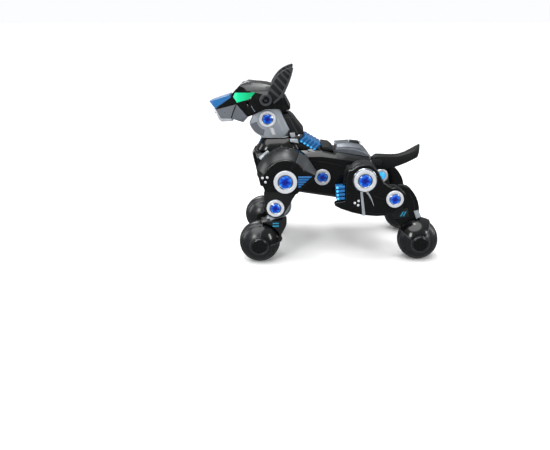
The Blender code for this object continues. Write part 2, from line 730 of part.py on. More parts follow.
def pivot_pin(name, pivot, side, face, radius, end, shaft):
    """A pivot disc with a domed lens, and the shaft behind it that runs inwards."""
    profile = [
        (0.0, face + DISC_PROUD + 1.2), (radius * 0.5, face + DISC_PROUD + 0.5),
        (radius * 0.56, face + DISC_PROUD), (radius - 2.0, face + DISC_PROUD - 0.4),
        (radius, face + DISC_PROUD - 2.2), (radius, face + GAP),
        (shaft, face + GAP), (shaft, end), (0.0, end),
    ]
    return turned(name, profile, (pivot[0], 0.0, pivot[1]), side, PEARL_WHITE)


def knee_pin(name, pivot, side):
    """The knee's shaft with a disc outside the thigh and one inside the shin."""
    outer = KNEE_PLATE_OUTER + GAP
    inner = SHIN_INNER - GAP
    radius = KNEE_DISC_RADIUS
    shaft = KNEE_SHAFT_RADIUS
    profile = [
        (0.0, outer + 4.2), (radius * 0.5, outer + 3.6), (radius - 1.8, outer + 2.8),
        (radius, outer + 1.4), (radius, outer), (shaft, outer), (shaft, inner),
        (radius - 3.0, inner), (radius - 3.0, inner - 2.2), (radius - 5.0, inner - 3.6), (0.0, inner - 4.2),
    ]
    pin = turned(name, profile, (pivot[0], 0.0, pivot[1]), side, PEARL_WHITE)
    put_origin(pin, (pivot[0], 0.0, pivot[1]))


def ball_profile(half, wall):
    """The outer and inner line of half a ball, from its pole to the split and back."""
    start = BALL_SPLIT / 2.0
    outer, inner = [], []
    rest = math.asin(start / half)
    steps = 5
    for i in range(steps + 1):
        angle = math.pi / 2.0 + (rest - math.pi / 2.0) * i / steps
        outer.append((BALL_RADIUS * math.cos(angle), half * math.sin(angle)))
    hollow = half - wall
    rest = math.asin(start / hollow)
    for i in range(4):
        angle = rest + (math.pi / 2.0 - rest) * i / 3
        inner.append(((BALL_RADIUS - wall) * math.cos(angle), hollow * math.sin(angle)))
    return outer, inner


def make_ball(tag, center, side):
    outer, inner = ball_profile(BALL_HALF_WIDTH, BALL_WALL)
    middle = (center[0], side * TRACK_HALF, center[1])
    turned(f"ball_outer_{tag}", outer + inner, middle, side, GLOSS_BLACK, BALL_STEPS)
    # The inner half carries the axle, which runs out through the fender's bearing.
    pole = BALL_HALF_WIDTH
    reach = pole + FENDER_CLEAR + FENDER_WALL + 1.2
    stub = [(0.0, reach), (AXLE_RADIUS, reach)]
    shell = [point for point in outer if point[0] > AXLE_RADIUS]
    shaft_top = pole - BALL_WALL
    back = [point for point in inner if point[0] > AXLE_RADIUS]
    tip = 12.0
    profile = stub + [(AXLE_RADIUS, pole - 0.1)] + shell + back
    profile += [(AXLE_RADIUS, shaft_top - 0.5), (AXLE_RADIUS, -tip), (0.0, -tip)]
    turned(f"ball_inner_{tag}", profile, middle, -side, GLOSS_BLACK, BALL_STEPS)


def fender(name, center, side, start, end):
    """A curved guard that follows the ball from its inner pole over to its outer face."""
    gap = FENDER_CLEAR
    radius, half = BALL_RADIUS + gap, BALL_HALF_WIDTH + gap
    mesh = bpy.data.meshes.new(name)
    shape = bmesh.new()
    columns, rows = 5, 8
    grid = []
    for i in range(columns + 1):
        turn = math.radians(start + (end - start) * i / columns)
        line = []
        for k in range(rows + 1):
            polar = math.radians(14.0 + (154.0 - 14.0) * k / rows)   # from the inner pole
            reach = radius * math.sin(polar)
            line.append(shape.verts.new((
                (center[0] + reach * math.cos(turn)) * MM,
                side * (TRACK_HALF - half * math.cos(polar)) * MM,
                (center[1] + reach * math.sin(turn)) * MM,
            )))
        grid.append(line)
    for i in range(columns):
        for k in range(rows):
            shape.faces.new((grid[i][k], grid[i + 1][k], grid[i + 1][k + 1], grid[i][k + 1]))
    bmesh.ops.recalc_face_normals(shape, faces=shape.faces)
    middle = Vector((center[0], side * TRACK_HALF, center[1])) * MM
    if sum(f.normal.dot(f.calc_center_median() - middle) for f in shape.faces) < 0:
        bmesh.ops.reverse_faces(shape, faces=shape.faces)
    shape.to_mesh(mesh)
    shape.free()
    obj = place(bpy.data.objects.new(name, mesh))
    wall = obj.modifiers.new("wall", "SOLIDIFY")
    wall.thickness = FENDER_WALL * MM
    wall.offset = 1.0
    wall.use_even_offset = True
    return obj


def bearing(name, center, side):
    """The round boss at the ball's inner pole that the axle turns in."""
    plane = TRACK_HALF - BALL_HALF_WIDTH - FENDER_CLEAR
    return rod(name, center, 12.0, side * (plane + 0.2), side * (plane - FENDER_WALL), steps=20)


def make_shin(tag, knee, ball, side, frame_outline, guard_outline, guard_span, sector):
    frame = plate(
        f"shin_frame_{tag}", frame_outline, side * SHIN_INNER, side * SHIN_OUTER, SILVER_GREY
    )
    cut(frame, rod(f"shin_bore_{tag}", knee, KNEE_SHAFT_RADIUS + RUN, side * 40.0, side * 100.0, steps=20))
    fender_room = BALL_RADIUS + FENDER_CLEAR + FENDER_WALL + GAP
    cut(frame, rod(f"fender_room_{tag}", ball, fender_room, side * 30.0, side * 120.0, steps=32))
    guard = plate(
        f"shin_guard_{tag}", guard_outline, side * guard_span[0], side * guard_span[1], GLOSS_BLACK
    )
    ball_room = BALL_RADIUS + FENDER_CLEAR + 0.3
    cut(guard, rod(f"ball_room_{tag}", ball, ball_room, side * 30.0, side * 120.0, steps=32))
    join(guard, fender(f"fender_{tag}", ball, side, *sector))
    hub = bearing(f"bearing_{tag}", ball, side)
    join(guard, hub)
    cut(guard, rod(f"axle_bore_{tag}", ball, AXLE_RADIUS + RUN, side * 30.0, side * 50.0, steps=20))
    for piece in (frame, guard):
        put_origin(piece, (knee[0], side * SHIN_INNER, knee[1]))


def comb(corner, width, height, teeth, taper):
    """A row of fins: a plate whose far edge is stepped once for each fin."""
    x, z = corner
    pitch = height / teeth
    far = []
    for i in range(teeth):
        reach = width - taper * i
        top = z - i * pitch
        far += [(x + reach, top), (x + reach - taper * 0.4, top - pitch * 0.7)]
        if i < teeth - 1:
            far += [(x + reach * 0.62, top - pitch * 0.7), (x + reach * 0.62, top - pitch)]
    return [(x, z)] + far + [(x, z - height)]


def make_front_leg(tag, side):
    broad = at(SHOULDER, [(-36.0, -16.0), (-48.0, 6.0)])
    broad += arc(SHOULDER, 51.0, 160.0, 25.0, 11)
    broad += at(SHOULDER, [(53.0, 12.0), (48.0, 2.0), (28.0, -12.0), (20.0, -22.0)])
    face = at(SHOULDER, [(-34.0, -16.0), (-42.5, 6.0)])
    face += arc(SHOULDER, 36.0, 152.0, 30.0, 11)
    face += at(SHOULDER, [(50.0, 9.0), (45.0, 2.0), (27.0, -12.0), (19.0, -22.0)])
    shell = side_loft(
        f"thigh_shell_{tag}",
        [(side * THIGH_INNER, broad), (side * THIGH_BAND, broad), (side * THIGH_FACE, face)],
        GLOSS_BLACK,
    )
    hollow = side_loft(
        f"thigh_hollow_{tag}",
        [
            (side * (THIGH_INNER + THIGH_WALL), inset(broad, THIGH_WALL)),
            (side * (THIGH_BAND - THIGH_WALL / 2.0), inset(broad, THIGH_WALL)),
            (side * (THIGH_FACE - THIGH_WALL), inset(face, THIGH_WALL)),
        ],
    )
    cut(shell, hollow)
    to_knee = (FRONT_KNEE[0] - SHOULDER[0], FRONT_KNEE[1] - SHOULDER[1])
    arm = [(-34.0, -12.0), (-36.0, -20.0), (to_knee[0] - 18.0, to_knee[1] + 2.0)]
    arm += arc(to_knee, 18.0, 190.0, 330.0, 8)
    arm += [(to_knee[0] + 23.0, to_knee[1] + 4.0), (13.0, -29.0), (19.0, -20.0), (10.0, -10.0)]
    join(shell, plate(f"arm_{tag}", at(SHOULDER, arm), side * KNEE_PLATE_INNER, side * KNEE_PLATE_OUTER))
    finish_thigh(shell, tag, SHOULDER, FRONT_KNEE, side, PIVOT_DISC_RADIUS)
    fins = at(SHOULDER, comb((22.5, 9.5), 22.0, 20.0, 5, 3.6))
    fin_plate = plate(f"fins_{tag}", fins, side * (THIGH_FACE + GAP), side * (THIGH_FACE + 2.2), TRIM_BLUE)
    put_origin(fin_plate, (SHOULDER[0], side * THIGH_FACE, SHOULDER[1]))

    guard_center = (FRONT_KNEE[0] + 6.0, FRONT_KNEE[1] - 1.0)
    frame = arc(guard_center, 21.0, 265.0, -70.0, 20) + at(FRONT_KNEE, [(-2.0, -25.0), (-16.0, -24.0)])
    to_ball = (FRONT_BALL[0] - FRONT_KNEE[0], FRONT_BALL[1] - FRONT_KNEE[1])
    guard = [
        (-15.0, -25.0), (-1.0, -25.6), (11.5, -22.8), (18.5, -26.0), (17.5, -33.0),
        (to_ball[0] + 38.0, to_ball[1] + 14.0), (to_ball[0] + 26.0, to_ball[1] + 16.0),
        (to_ball[0] + 2.0, to_ball[1] + 30.0),
    ]
    make_shin(
        tag, FRONT_KNEE, FRONT_BALL, side, frame, at(FRONT_KNEE, guard), (60.0, 86.0), (2.0, 84.0)
    )
    make_ball(tag, FRONT_BALL, side)


def finish_thigh(shell, tag, pivot, knee, side, disc_radius):
    """Bores for the two pins, room for the shin at the knee, and the pins themselves."""
    room = rod(f"knee_room_{tag}", knee, 34.0, side * 40.0, side * (KNEE_PLATE_INNER - 0.1), steps=32)
    cut(shell, room)
    cut(shell, rod(f"pivot_bore_{tag}", pivot, PIVOT_SHAFT_RADIUS + GAP, side * 40.0, side * 110.0))
    cut(shell, rod(f"knee_bore_{tag}", knee, KNEE_SHAFT_RADIUS + GAP, side * 40.0, side * 110.0, steps=20))
    put_origin(shell, (pivot[0], side * THIGH_INNER, pivot[1]))
    pivot_pin(f"hip_pin_{tag}", pivot, side, THIGH_FACE, disc_radius, 24.0, PIVOT_SHAFT_RADIUS)
    knee_pin(f"knee_pin_{tag}", knee, side)


def make_rear_leg(tag, side):
    to_knee = (REAR_KNEE[0] - HIP[0], REAR_KNEE[1] - HIP[1])
    outline = [
        (-27.0, 19.0), (-31.0, -2.0), (-33.0, -37.0), (-50.0, -39.5), (-49.0, -45.0),
        (-28.0, -54.0), (0.0, -61.0), (28.0, -64.0), (44.0, -58.0),
    ]
    outline += arc(to_knee, 19.5, -60.0, 110.0, 9)
    outline += [(30.0, 0.0), (26.0, 12.0), (12.0, 25.0), (-12.0, 26.0)]
    outline = at(HIP, outline)
    shell = side_loft(
        f"thigh_shell_{tag}",
        [
            (side * THIGH_INNER, inset(outline, 3.0)),
            (side * (THIGH_INNER + 8.0), outline),
            (side * (KNEE_PLATE_OUTER - 5.0), outline),
            (side * KNEE_PLATE_OUTER, inset(outline, 2.5)),
        ],
        GLOSS_BLACK,
    )
    hollow = side_loft(
        f"thigh_hollow_{tag}",
        [
            (side * (THIGH_INNER + THIGH_WALL), inset(outline, 3.0 + THIGH_WALL)),
            (side * (THIGH_INNER + 8.0), inset(outline, THIGH_WALL)),
            (side * (KNEE_PLATE_INNER - 0.5), inset(outline, THIGH_WALL)),
        ],
    )
    cut(shell, hollow)
    boss = rod(f"hip_boss_{tag}", HIP, HIP_DISC_RADIUS + 2.0, side * 80.0, side * THIGH_FACE, steps=24)
    join(shell, boss)
    finish_thigh(shell, tag, HIP, REAR_KNEE, side, HIP_DISC_RADIUS)
    fins = [(-33.0 - GAP - x, z - x * 0.15) for x, z in comb((0.0, -8.0), 16.0, 25.0, 4, -0.4)]
    fin_plate = plate(f"fins_{tag}", at(HIP, fins), side * 74.0, side * 90.0, TRIM_BLUE)
    put_origin(fin_plate, (HIP[0], side * THIGH_FACE, HIP[1]))

    to_ball = (REAR_BALL[0] - REAR_KNEE[0], REAR_BALL[1] - REAR_KNEE[1])
    frame = arc((0.0, 0.0), 17.0, 60.0, 230.0, 12)
    frame += [(4.0, -42.0), (20.0, -40.0), (17.0, -14.0)]
    guard = [
        (10.5, 15.6), (27.0, 15.0), (36.0, 4.0), (43.0, -10.0), (45.5, -28.0), (49.0, -42.0),
        (to_ball[0] + 12.0, to_ball[1] + 30.0), (to_ball[0] - 22.0, to_ball[1] + 24.0),
        (5.0, -42.8), (20.6, -40.6), (17.6, -14.0),
    ]
    make_shin(
        tag, REAR_KNEE, REAR_BALL, side, at(REAR_KNEE, frame), at(REAR_KNEE, guard),
        (SHIN_INNER, SHIN_OUTER), (58.0, 152.0),
    )
    make_ball(tag, REAR_BALL, side)


def main():
    collar_top = make_torso()
    make_back()
    make_inside()
    make_tail()
    make_neck(collar_top)
    make_head()
    for label, side in (("left", -1.0), ("right", 1.0)):
        make_front_leg("front_" + label, side)
        make_rear_leg("rear_" + label, side)
    for obj in PARTS.objects:
        obj.data.shade_smooth()
        obj.data.set_sharp_from_angle(angle=math.radians(35.0))


main()
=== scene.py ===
# Robot dog toy: glossy black casings, silver joint rings with blue lenses, four ball wheels
import math

import bpy
from mathutils import Matrix, Vector


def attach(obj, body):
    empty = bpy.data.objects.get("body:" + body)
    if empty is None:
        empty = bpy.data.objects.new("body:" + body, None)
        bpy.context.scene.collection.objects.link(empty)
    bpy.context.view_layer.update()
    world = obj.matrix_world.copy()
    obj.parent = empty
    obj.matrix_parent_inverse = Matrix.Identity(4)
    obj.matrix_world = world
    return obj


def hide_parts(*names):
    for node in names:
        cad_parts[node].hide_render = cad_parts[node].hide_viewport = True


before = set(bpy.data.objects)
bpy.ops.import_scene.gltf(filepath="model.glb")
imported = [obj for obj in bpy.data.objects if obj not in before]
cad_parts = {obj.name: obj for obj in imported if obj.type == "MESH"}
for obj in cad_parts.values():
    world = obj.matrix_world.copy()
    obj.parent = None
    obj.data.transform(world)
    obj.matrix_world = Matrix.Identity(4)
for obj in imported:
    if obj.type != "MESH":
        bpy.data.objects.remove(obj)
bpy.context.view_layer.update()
mm = 0.001

cameraSettings = {
    "target": (-0.021, 0.0, 0.1719),
    "azimuth": -2.11,
    "elevation": 13.27,
    "distance": 1.0236,
    "lens": 37.26,
    "shift": (-0.0648, -0.1307),
}
pivots = {  # joint places in the side view, x and z in mm
    "shoulder": (-66.0, 145.0),
    "hip": (66.0, 146.0),
    "frontKnee": (-83.0, 99.5),
    "rearKnee": (117.0, 113.0),
    "frontBall": (-111.0, 35.0),
    "rearBall": (162.0, 35.0),
    "waist": (-2.0, 139.0),
    "neck": (-96.0, 239.5),
    "ear": (-98.0, 274.0),
    "tail": (101.0, 156.0),
}


def addCamera(settings):
    turn = math.radians(settings["azimuth"])
    lift = math.radians(settings["elevation"])
    back = Vector((math.sin(turn) * math.cos(lift), -math.cos(turn) * math.cos(lift), math.sin(lift)))
    bpy.ops.object.camera_add(location=Vector(settings["target"]) + back * settings["distance"])
    camera = bpy.context.object
    camera.rotation_euler = back.to_track_quat("Z", "Y").to_euler()
    camera.data.lens = settings["lens"]
    camera.data.sensor_width = 36.0
    camera.data.shift_x, camera.data.shift_y = settings["shift"]
    camera.data.clip_start = 0.01
    bpy.context.scene.camera = camera


addCamera(cameraSettings)


def linear(code):
    values = [int(code[i:i + 2], 16) / 255.0 for i in (1, 3, 5)]
    return tuple(v / 12.92 if v <= 0.04045 else ((v + 0.055) / 1.055) ** 2.4 for v in values) + (1.0,)


def addNode(tree, kind, inputs=None, **settings):
    node = tree.nodes.new(kind)
    for key, value in settings.items():
        setattr(node, key, value)
    for key, value in (inputs or {}).items():
        if isinstance(value, bpy.types.NodeSocket):
            tree.links.new(value, node.inputs[key])
        else:
            node.inputs[key].default_value = value
    return node


def newFinish(name, **constants):
    finish = bpy.data.materials.new(name)
    finish.use_nodes = True
    shader = finish.node_tree.nodes["Principled BSDF"]
    for key, value in constants.items():
        shader.inputs[key].default_value = value
    return finish, finish.node_tree, shader


def mouldedPlastic(name, dark, light, gloss, grain, relief, **constants):
    # dark and light: hex colours, gloss: roughness span, grain: texture size in mm, relief: bump in mm;
    # the tint drifts over cloudMm and the gloss over wipeMm, as on handled plastic
    cloudMm, wipeMm = 22.0, 7.0
    finish, tree, shader = newFinish(name, **constants)
    place = addNode(tree, "ShaderNodeTexCoord")
    cloud = addNode(tree, "ShaderNodeTexNoise", {
        "Vector": place.outputs["Object"], "Scale": 1000.0 / cloudMm, "Detail": 3.0})
    tint = addNode(tree, "ShaderNodeMix", {
        0: cloud.outputs["Fac"], 6: linear(dark), 7: linear(light)}, data_type="RGBA")
    tree.links.new(tint.outputs[2], shader.inputs["Base Color"])
    wipe = addNode(tree, "ShaderNodeTexNoise", {
        "Vector": place.outputs["Object"], "Scale": 1000.0 / wipeMm, "Detail": 5.0, "Roughness": 0.6})
    rough = addNode(tree, "ShaderNodeMapRange", {
        "Value": wipe.outputs["Fac"], "From Min": 0.3, "From Max": 0.7, "To Min": gloss[0], "To Max": gloss[1]})
    tree.links.new(rough.outputs["Result"], shader.inputs["Roughness"])
    skin = addNode(tree, "ShaderNodeTexNoise", {
        "Vector": place.outputs["Object"], "Scale": 1000.0 / grain, "Detail": 2.0})
    bump = addNode(tree, "ShaderNodeBump", {
        "Height": skin.outputs["Fac"], "Distance": relief * mm, "Strength": 0.6})
    tree.links.new(bump.outputs["Normal"], shader.inputs["Normal"])
    return finish


finishes = {
    # polished ABS casing: near black, sharp soft-box reflections, faint orange peel
    "glossAbs": mouldedPlastic("glossAbs", "#050607", "#0a0b0c", (0.12, 0.19), 3.0, 0.006, **{
        "IOR": 1.5, "Specular IOR Level": 0.5}),
    # polished ball shells, a shade greyer than the casing black: painted sheen standing in for their lit look
    "ballAbs": mouldedPlastic("ballAbs", "#131518", "#181a1d", (0.26, 0.30), 2.6, 0.005, **{
        "IOR": 1.5, "Specular IOR Level": 0.5}),
    # spark-eroded mould grain: dark grey, wide soft highlights
    "satinAbs": mouldedPlastic("satinAbs", "#141517", "#1c1e20", (0.34, 0.46), 0.9, 0.030, **{
        "IOR": 1.5, "Specular IOR Level": 0.3}),
    # coarse grain on the arms, ears and tail: almost no reflection
    "grainAbs": mouldedPlastic("grainAbs", "#0f1011", "#171819", (0.46, 0.60), 1.1, 0.050, **{
        "IOR": 1.5, "Specular IOR Level": 0.25}),
    # graphite lacquer over the shoulder bands and the crown
    "graphitePaint": mouldedPlastic("graphitePaint", "#17191b", "#1f2224", (0.26, 0.33), 2.4, 0.002, **{
        "Metallic": 0.25, "Specular IOR Level": 0.6}),
    # silver-grey metallic paint on the neck, knee guards and rump
    "silverPaint": mouldedPlastic("silverPaint", "#858c93", "#a0a7ae", (0.28, 0.38), 0.8, 0.015, **{
        "Metallic": 0.3}),
    # darker gunmetal paint on the jaw and the switch hump
    "gunmetalPaint": mouldedPlastic("gunmetalPaint", "#565a61", "#6b7077", (0.26, 0.36), 0.8, 0.015, **{
        "Metallic": 0.25}),
    # pearl-white lacquer of the joint rings
    "pearlPaint": mouldedPlastic("pearlPaint", "#b0b3b8", "#c8cbd0", (0.16, 0.24), 1.4, 0.008, **{
        "Metallic": 0.15, "Coat Weight": 0.5, "Coat Roughness": 0.08}),
    # silver-white paint on the mouth and the chest
    "platinumPaint": mouldedPlastic("platinumPaint", "#9da0a6", "#babdc3", (0.26, 0.36), 0.9, 0.015, **{
        "Metallic": 0.35}),
    # through-dyed blue plastic of the bellows, fins and nose
    "blueAbs": mouldedPlastic("blueAbs", "#064f86", "#0868a8", (0.28, 0.38), 1.0, 0.020, **{
        "IOR": 1.5, "Coat Weight": 0.2}),
    # clear cyan windows with a painted glow: their emission makes them shine
    "cyanWindowPaintedGlow": mouldedPlastic("cyanWindowPaintedGlow", "#2a9be4", "#58ccff", (0.12, 0.20), 1.5, 0.010, **{
        "Emission Color": linear("#38b4f4"), "Emission Strength": 0.35}),
    # smoked teal windows, unlit, with a faint painted glow from their emission
    "tealWindow": mouldedPlastic("tealWindow", "#1c6f92", "#2c93b4", (0.12, 0.20), 1.5, 0.010, **{
        "Emission Color": linear("#2484a8"), "Emission Strength": 0.12}),
    # bright chromed rings and bezels
    "chromePlate": mouldedPlastic("chromePlate", "#a8adb3", "#c4c9cf", (0.14, 0.22), 1.5, 0.005, **{
        "Metallic": 0.95}),
    # charcoal satin rims of the ears and the shoulder tail; on the ball rings and the fender lips this lighter grey is
    # a painted highlight
    "greyAbs": mouldedPlastic("greyAbs", "#2a2d2f", "#36393c", (0.36, 0.46), 0.9, 0.020, **{
        "IOR": 1.5, "Specular IOR Level": 0.4}),
    # plain inner mouldings
    "innerAbs": mouldedPlastic("innerAbs", "#1a1a1a", "#242424", (0.5, 0.6), 1.2, 0.040, **{"IOR": 1.5}),
    "solderMask": mouldedPlastic("solderMask", "#14602c", "#1c7a3a", (0.3, 0.4), 1.0, 0.010, **{"IOR": 1.5}),
    "shrinkWrap": mouldedPlastic("shrinkWrap", "#1a4f9c", "#2362b8", (0.2, 0.3), 2.5, 0.030, **{"IOR": 1.5}),
    "stampedSteel": mouldedPlastic("stampedSteel", "#a9acb0", "#c4c7ca", (0.25, 0.35), 0.8, 0.010, **{
        "Metallic": 1.0}),
}


def jewelLensPaintedGlow():
    # cut blue lens: navy heart, brighter facets, lighter blue towards the rim; its emission paints a faint glow onto it
    finish, tree, shader = newFinish("jewelLensPaintedGlow", **{
        "Roughness": 0.12, "IOR": 1.5, "Coat Weight": 0.5, "Coat Roughness": 0.04,
        "Emission Strength": 0.16})
    place = addNode(tree, "ShaderNodeUVMap", uv_map="lens")
    facets = addNode(tree, "ShaderNodeTexVoronoi", {"Vector": place.outputs["UV"], "Scale": 3.4}, feature="F1")
    centred = addNode(tree, "ShaderNodeVectorMath", {0: place.outputs["UV"]}, operation="LENGTH")
    lumps = addNode(tree, "ShaderNodeSeparateColor", {"Color": facets.outputs["Color"]})
    mixed = addNode(tree, "ShaderNodeMath", {0: lumps.outputs["Red"], 1: 0.55}, operation="MULTIPLY")
    summed = addNode(tree, "ShaderNodeMath", {
        0: centred.outputs["Value"], 1: mixed.outputs["Value"]}, operation="ADD")
    stops = [(0.0, "#02052c"), (0.42, "#051068"), (0.75, "#082890"), (1.05, "#0e46ae"), (1.35, "#1874d0")]
    last, rimCode = stops[-1]
    scaled = addNode(tree, "ShaderNodeMath", {0: summed.outputs["Value"], 1: 1.0 / last}, operation="MULTIPLY")
    ramp = addNode(tree, "ShaderNodeValToRGB", {"Fac": scaled.outputs["Value"]})
    ramp.color_ramp.elements[0].color = linear(stops[0][1])
    ramp.color_ramp.elements[1].color = linear(rimCode)
    for spot, code in stops[1:-1]:
        ramp.color_ramp.elements.new(spot / last).color = linear(code)
    # the ramp also drives the emission: painted glow
    for socket in ("Base Color", "Emission Color"):
        tree.links.new(ramp.outputs["Color"], shader.inputs[socket])
    return finish


def eyeGlow():
    # milky green lens, lighter towards the nose, with a painted glow from its emission
    finish, tree, shader = newFinish("eyeGlow", **{
        "Roughness": 0.16, "Coat Weight": 0.6, "Coat Roughness": 0.05, "Emission Strength": 0.28})
    place = addNode(tree, "ShaderNodeTexCoord")
    axis = addNode(tree, "ShaderNodeSeparateXYZ", {"Vector": place.outputs["Object"]})
    fade = addNode(tree, "ShaderNodeMapRange", {
        "Value": axis.outputs["X"], "From Min": -0.152, "From Max": -0.122, "To Min": 0.0, "To Max": 1.0})
    cloud = addNode(tree, "ShaderNodeTexNoise", {"Vector": place.outputs["Object"], "Scale": 90.0})
    blend = addNode(tree, "ShaderNodeMath", {0: cloud.outputs["Fac"], 1: 0.35, 2: fade.outputs["Result"]},
                    operation="MULTIPLY_ADD")
    ramp = addNode(tree, "ShaderNodeValToRGB", {"Fac": blend.outputs["Value"]})
    ramp.color_ramp.elements[0].color = linear("#48d4a4")
    ramp.color_ramp.elements[1].color = linear("#009862")
    ramp.color_ramp.elements.new(0.35).color = linear("#0cb880")
    for socket in ("Base Color", "Emission Color"):
        tree.links.new(ramp.outputs["Color"], shader.inputs[socket])
    return finish


finishes["jewelLensPaintedGlow"] = jewelLensPaintedGlow()
finishes["eyeGlow"] = eyeGlow()
print("finishes ready:", len(finishes))


# the shaping helpers below take millimetres
def deselect():
    if bpy.context.object and bpy.context.object.mode != "OBJECT":
        bpy.ops.object.mode_set(mode="OBJECT")
    bpy.ops.object.select_all(action="DESELECT")


def activate(piece):
    deselect()
    piece.select_set(True)
    bpy.context.view_layer.objects.active = piece


def inEdit(piece, *steps):
    activate(piece)
    bpy.ops.object.mode_set(mode="EDIT")
    bpy.ops.mesh.select_all(action="SELECT")
    for step in steps:
        step()
    bpy.ops.object.mode_set(mode="OBJECT")


def mergeClose():
    bpy.ops.mesh.remove_doubles(threshold=0.00001)


def faceOut():
    bpy.ops.mesh.select_all(action="SELECT")
    bpy.ops.mesh.normals_make_consistent(inside=False)


def sketch(points, fill):
    # a circle of as many corners, each moved to its own point
    deselect()
    bpy.ops.mesh.primitive_circle_add(vertices=len(points), radius=0.01, fill_type=fill)
    piece = bpy.context.object
    for vertex, point in zip(piece.data.vertices, points):
        vertex.co = Vector(point) * mm
    return piece


def loft(rings):
    # one skin through rings of as many points each, closed at both ends
    piece = sketch(rings[0], "NGON")
    for before, after in zip(rings, rings[1:]):
        bpy.ops.object.mode_set(mode="EDIT")
        bpy.ops.mesh.extrude_region_move()
        bpy.ops.object.mode_set(mode="OBJECT")
        old = [Vector(point) * mm for point in before]
        for vertex in piece.data.vertices:
            if vertex.select:
                nearest = min(range(len(old)), key=lambda i: (old[i] - vertex.co).length_squared)
                vertex.co = Vector(after[nearest]) * mm
    inEdit(piece, faceOut)
    return piece


def level(outline, y):
    return [(x, y, z) for x, z in outline]


def plate(outline, first, last):
    # side-view outline as x and z, between two places along y
    return loft([level(outline, first), level(outline, last)])


def turned(profile, center, steps=64, start=0.0, sweep=360.0):
    # profile as radius and y, spun around an axis along y
    turn = math.radians(start)
    points = [
        (center[0] + r * math.cos(turn), y, center[1] + r * math.sin(turn)) for r, y in profile
    ]
    piece = sketch(points, "NOTHING" if sweep == 360.0 else "NGON")
    activate(piece)
    bpy.ops.object.mode_set(mode="EDIT")
    bpy.ops.mesh.select_all(action="SELECT")
    bpy.ops.mesh.spin(
        steps=steps, angle=math.radians(sweep), center=(center[0] * mm, 0.0, center[1] * mm), axis=(0.0, 1.0, 0.0)
    )
    bpy.ops.mesh.select_all(action="SELECT")
    mergeClose()
    bpy.ops.mesh.select_all(action="SELECT")
    bpy.ops.mesh.delete_loose(use_verts=True, use_edges=True, use_faces=False)
    faceOut()
    bpy.ops.object.mode_set(mode="OBJECT")
    return piece


def slab(points, thickness):
    # a flat panel through points in space, thickened towards the side it is drawn anticlockwise from
    corners = [Vector(point) for point in points]
    normal = Vector((0.0, 0.0, 0.0))
    for here, after in zip(corners, corners[1:] + corners[:1]):
        normal += here.cross(after)
    lift = normal.normalized() * thickness
    return loft([[tuple(corner - lift * 0.4) for corner in corners], [tuple(corner + lift) for corner in corners]])


def trimLine(points, width, rise, out=(0.0, -1.0, 0.0)):
    # a raised line of rectangular section along points in space; width may be one number or one for each point
    spots = [Vector(point) for point in points]
    up = Vector(out).normalized()
    widths = width if isinstance(width, (list, tuple)) else [width] * len(spots)
    rings = []
    for i, spot in enumerate(spots):
        run = spots[min(i + 1, len(spots) - 1)] - spots[max(i - 1, 0)]
        aside = run.cross(up).normalized() * widths[i] / 2.0
        rings.append([tuple(p) for p in (
            spot + aside - up * 0.4, spot + aside + up * rise, spot - aside + up * rise, spot - aside - up * 0.4)])
    return loft(rings)


def arcPoints(center, radius, start, end, count):
    # turns in degrees from the x axis
    turns = [math.radians(start + (end - start) * i / (count - 1)) for i in range(count)]
    return [(center[0] + radius * math.cos(t), center[1] + radius * math.sin(t)) for t in turns]


def near(pivot, outline):
    # outline measured from a joint's place
    x, z = pivots[pivot]
    return [(x + dx, z + dz) for dx, dz in outline]


def modify(piece, kind, **settings):
    activate(piece)
    modifier = piece.modifiers.new(kind.lower(), kind)
    for key, value in settings.items():
        setattr(modifier, key, value)
    bpy.ops.object.modifier_apply(modifier=modifier.name)
    return piece


def soften(piece, width, segments=2, angle=30.0):
    return modify(piece, "BEVEL", width=width * mm, segments=segments, limit_method="ANGLE",
                  angle_limit=math.radians(angle), use_clamp_overlap=True)


def joined(pieces):
    activate(pieces[0])
    for piece in pieces[1:]:
        piece.select_set(True)
    bpy.ops.object.join()
    return pieces[0]


def settle(piece, name, finish, body, stands=(), angle=32.0):
    # stands: the frame's nodes that the piece takes the place of
    activate(piece)
    piece.name = name
    piece.data.name = name
    piece.data.materials.clear()
    piece.data.materials.append(finishes[finish])
    bpy.ops.object.shade_smooth_by_angle(angle=math.radians(angle))
    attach(piece, body)
    if stands:
        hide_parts(*stands)
    return piece


def swap(name):
    return name.replace("left", "right").replace("Left", "Right")


def pair(piece, name, finish, body, stands=(), angle=32.0):
    # the left piece and its mirror image on the right
    deselect()
    twin = piece.copy()
    twin.data = piece.data.copy()
    bpy.context.scene.collection.objects.link(twin)
    twin.data.transform(Matrix.Diagonal((1.0, -1.0, 1.0, 1.0)))
    twin.data.flip_normals()
    settle(piece, name, finish, body, stands, angle)
    settle(twin, swap(name), finish, swap(body), [swap(node) for node in stands], angle)
    return piece, twin


def nodeCopy(node, width, segments=2, angle=30.0):
    # a node's own shape with softened edges
    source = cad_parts[node]
    deselect()
    piece = bpy.data.objects.new(node + "_copy", source.data.copy())
    bpy.context.scene.collection.objects.link(piece)
    inEdit(
        piece, mergeClose,
        lambda: bpy.ops.mesh.dissolve_limited(angle_limit=math.radians(2.0)),
        faceOut,
    )
    return soften(piece, width, segments, angle) if width else piece


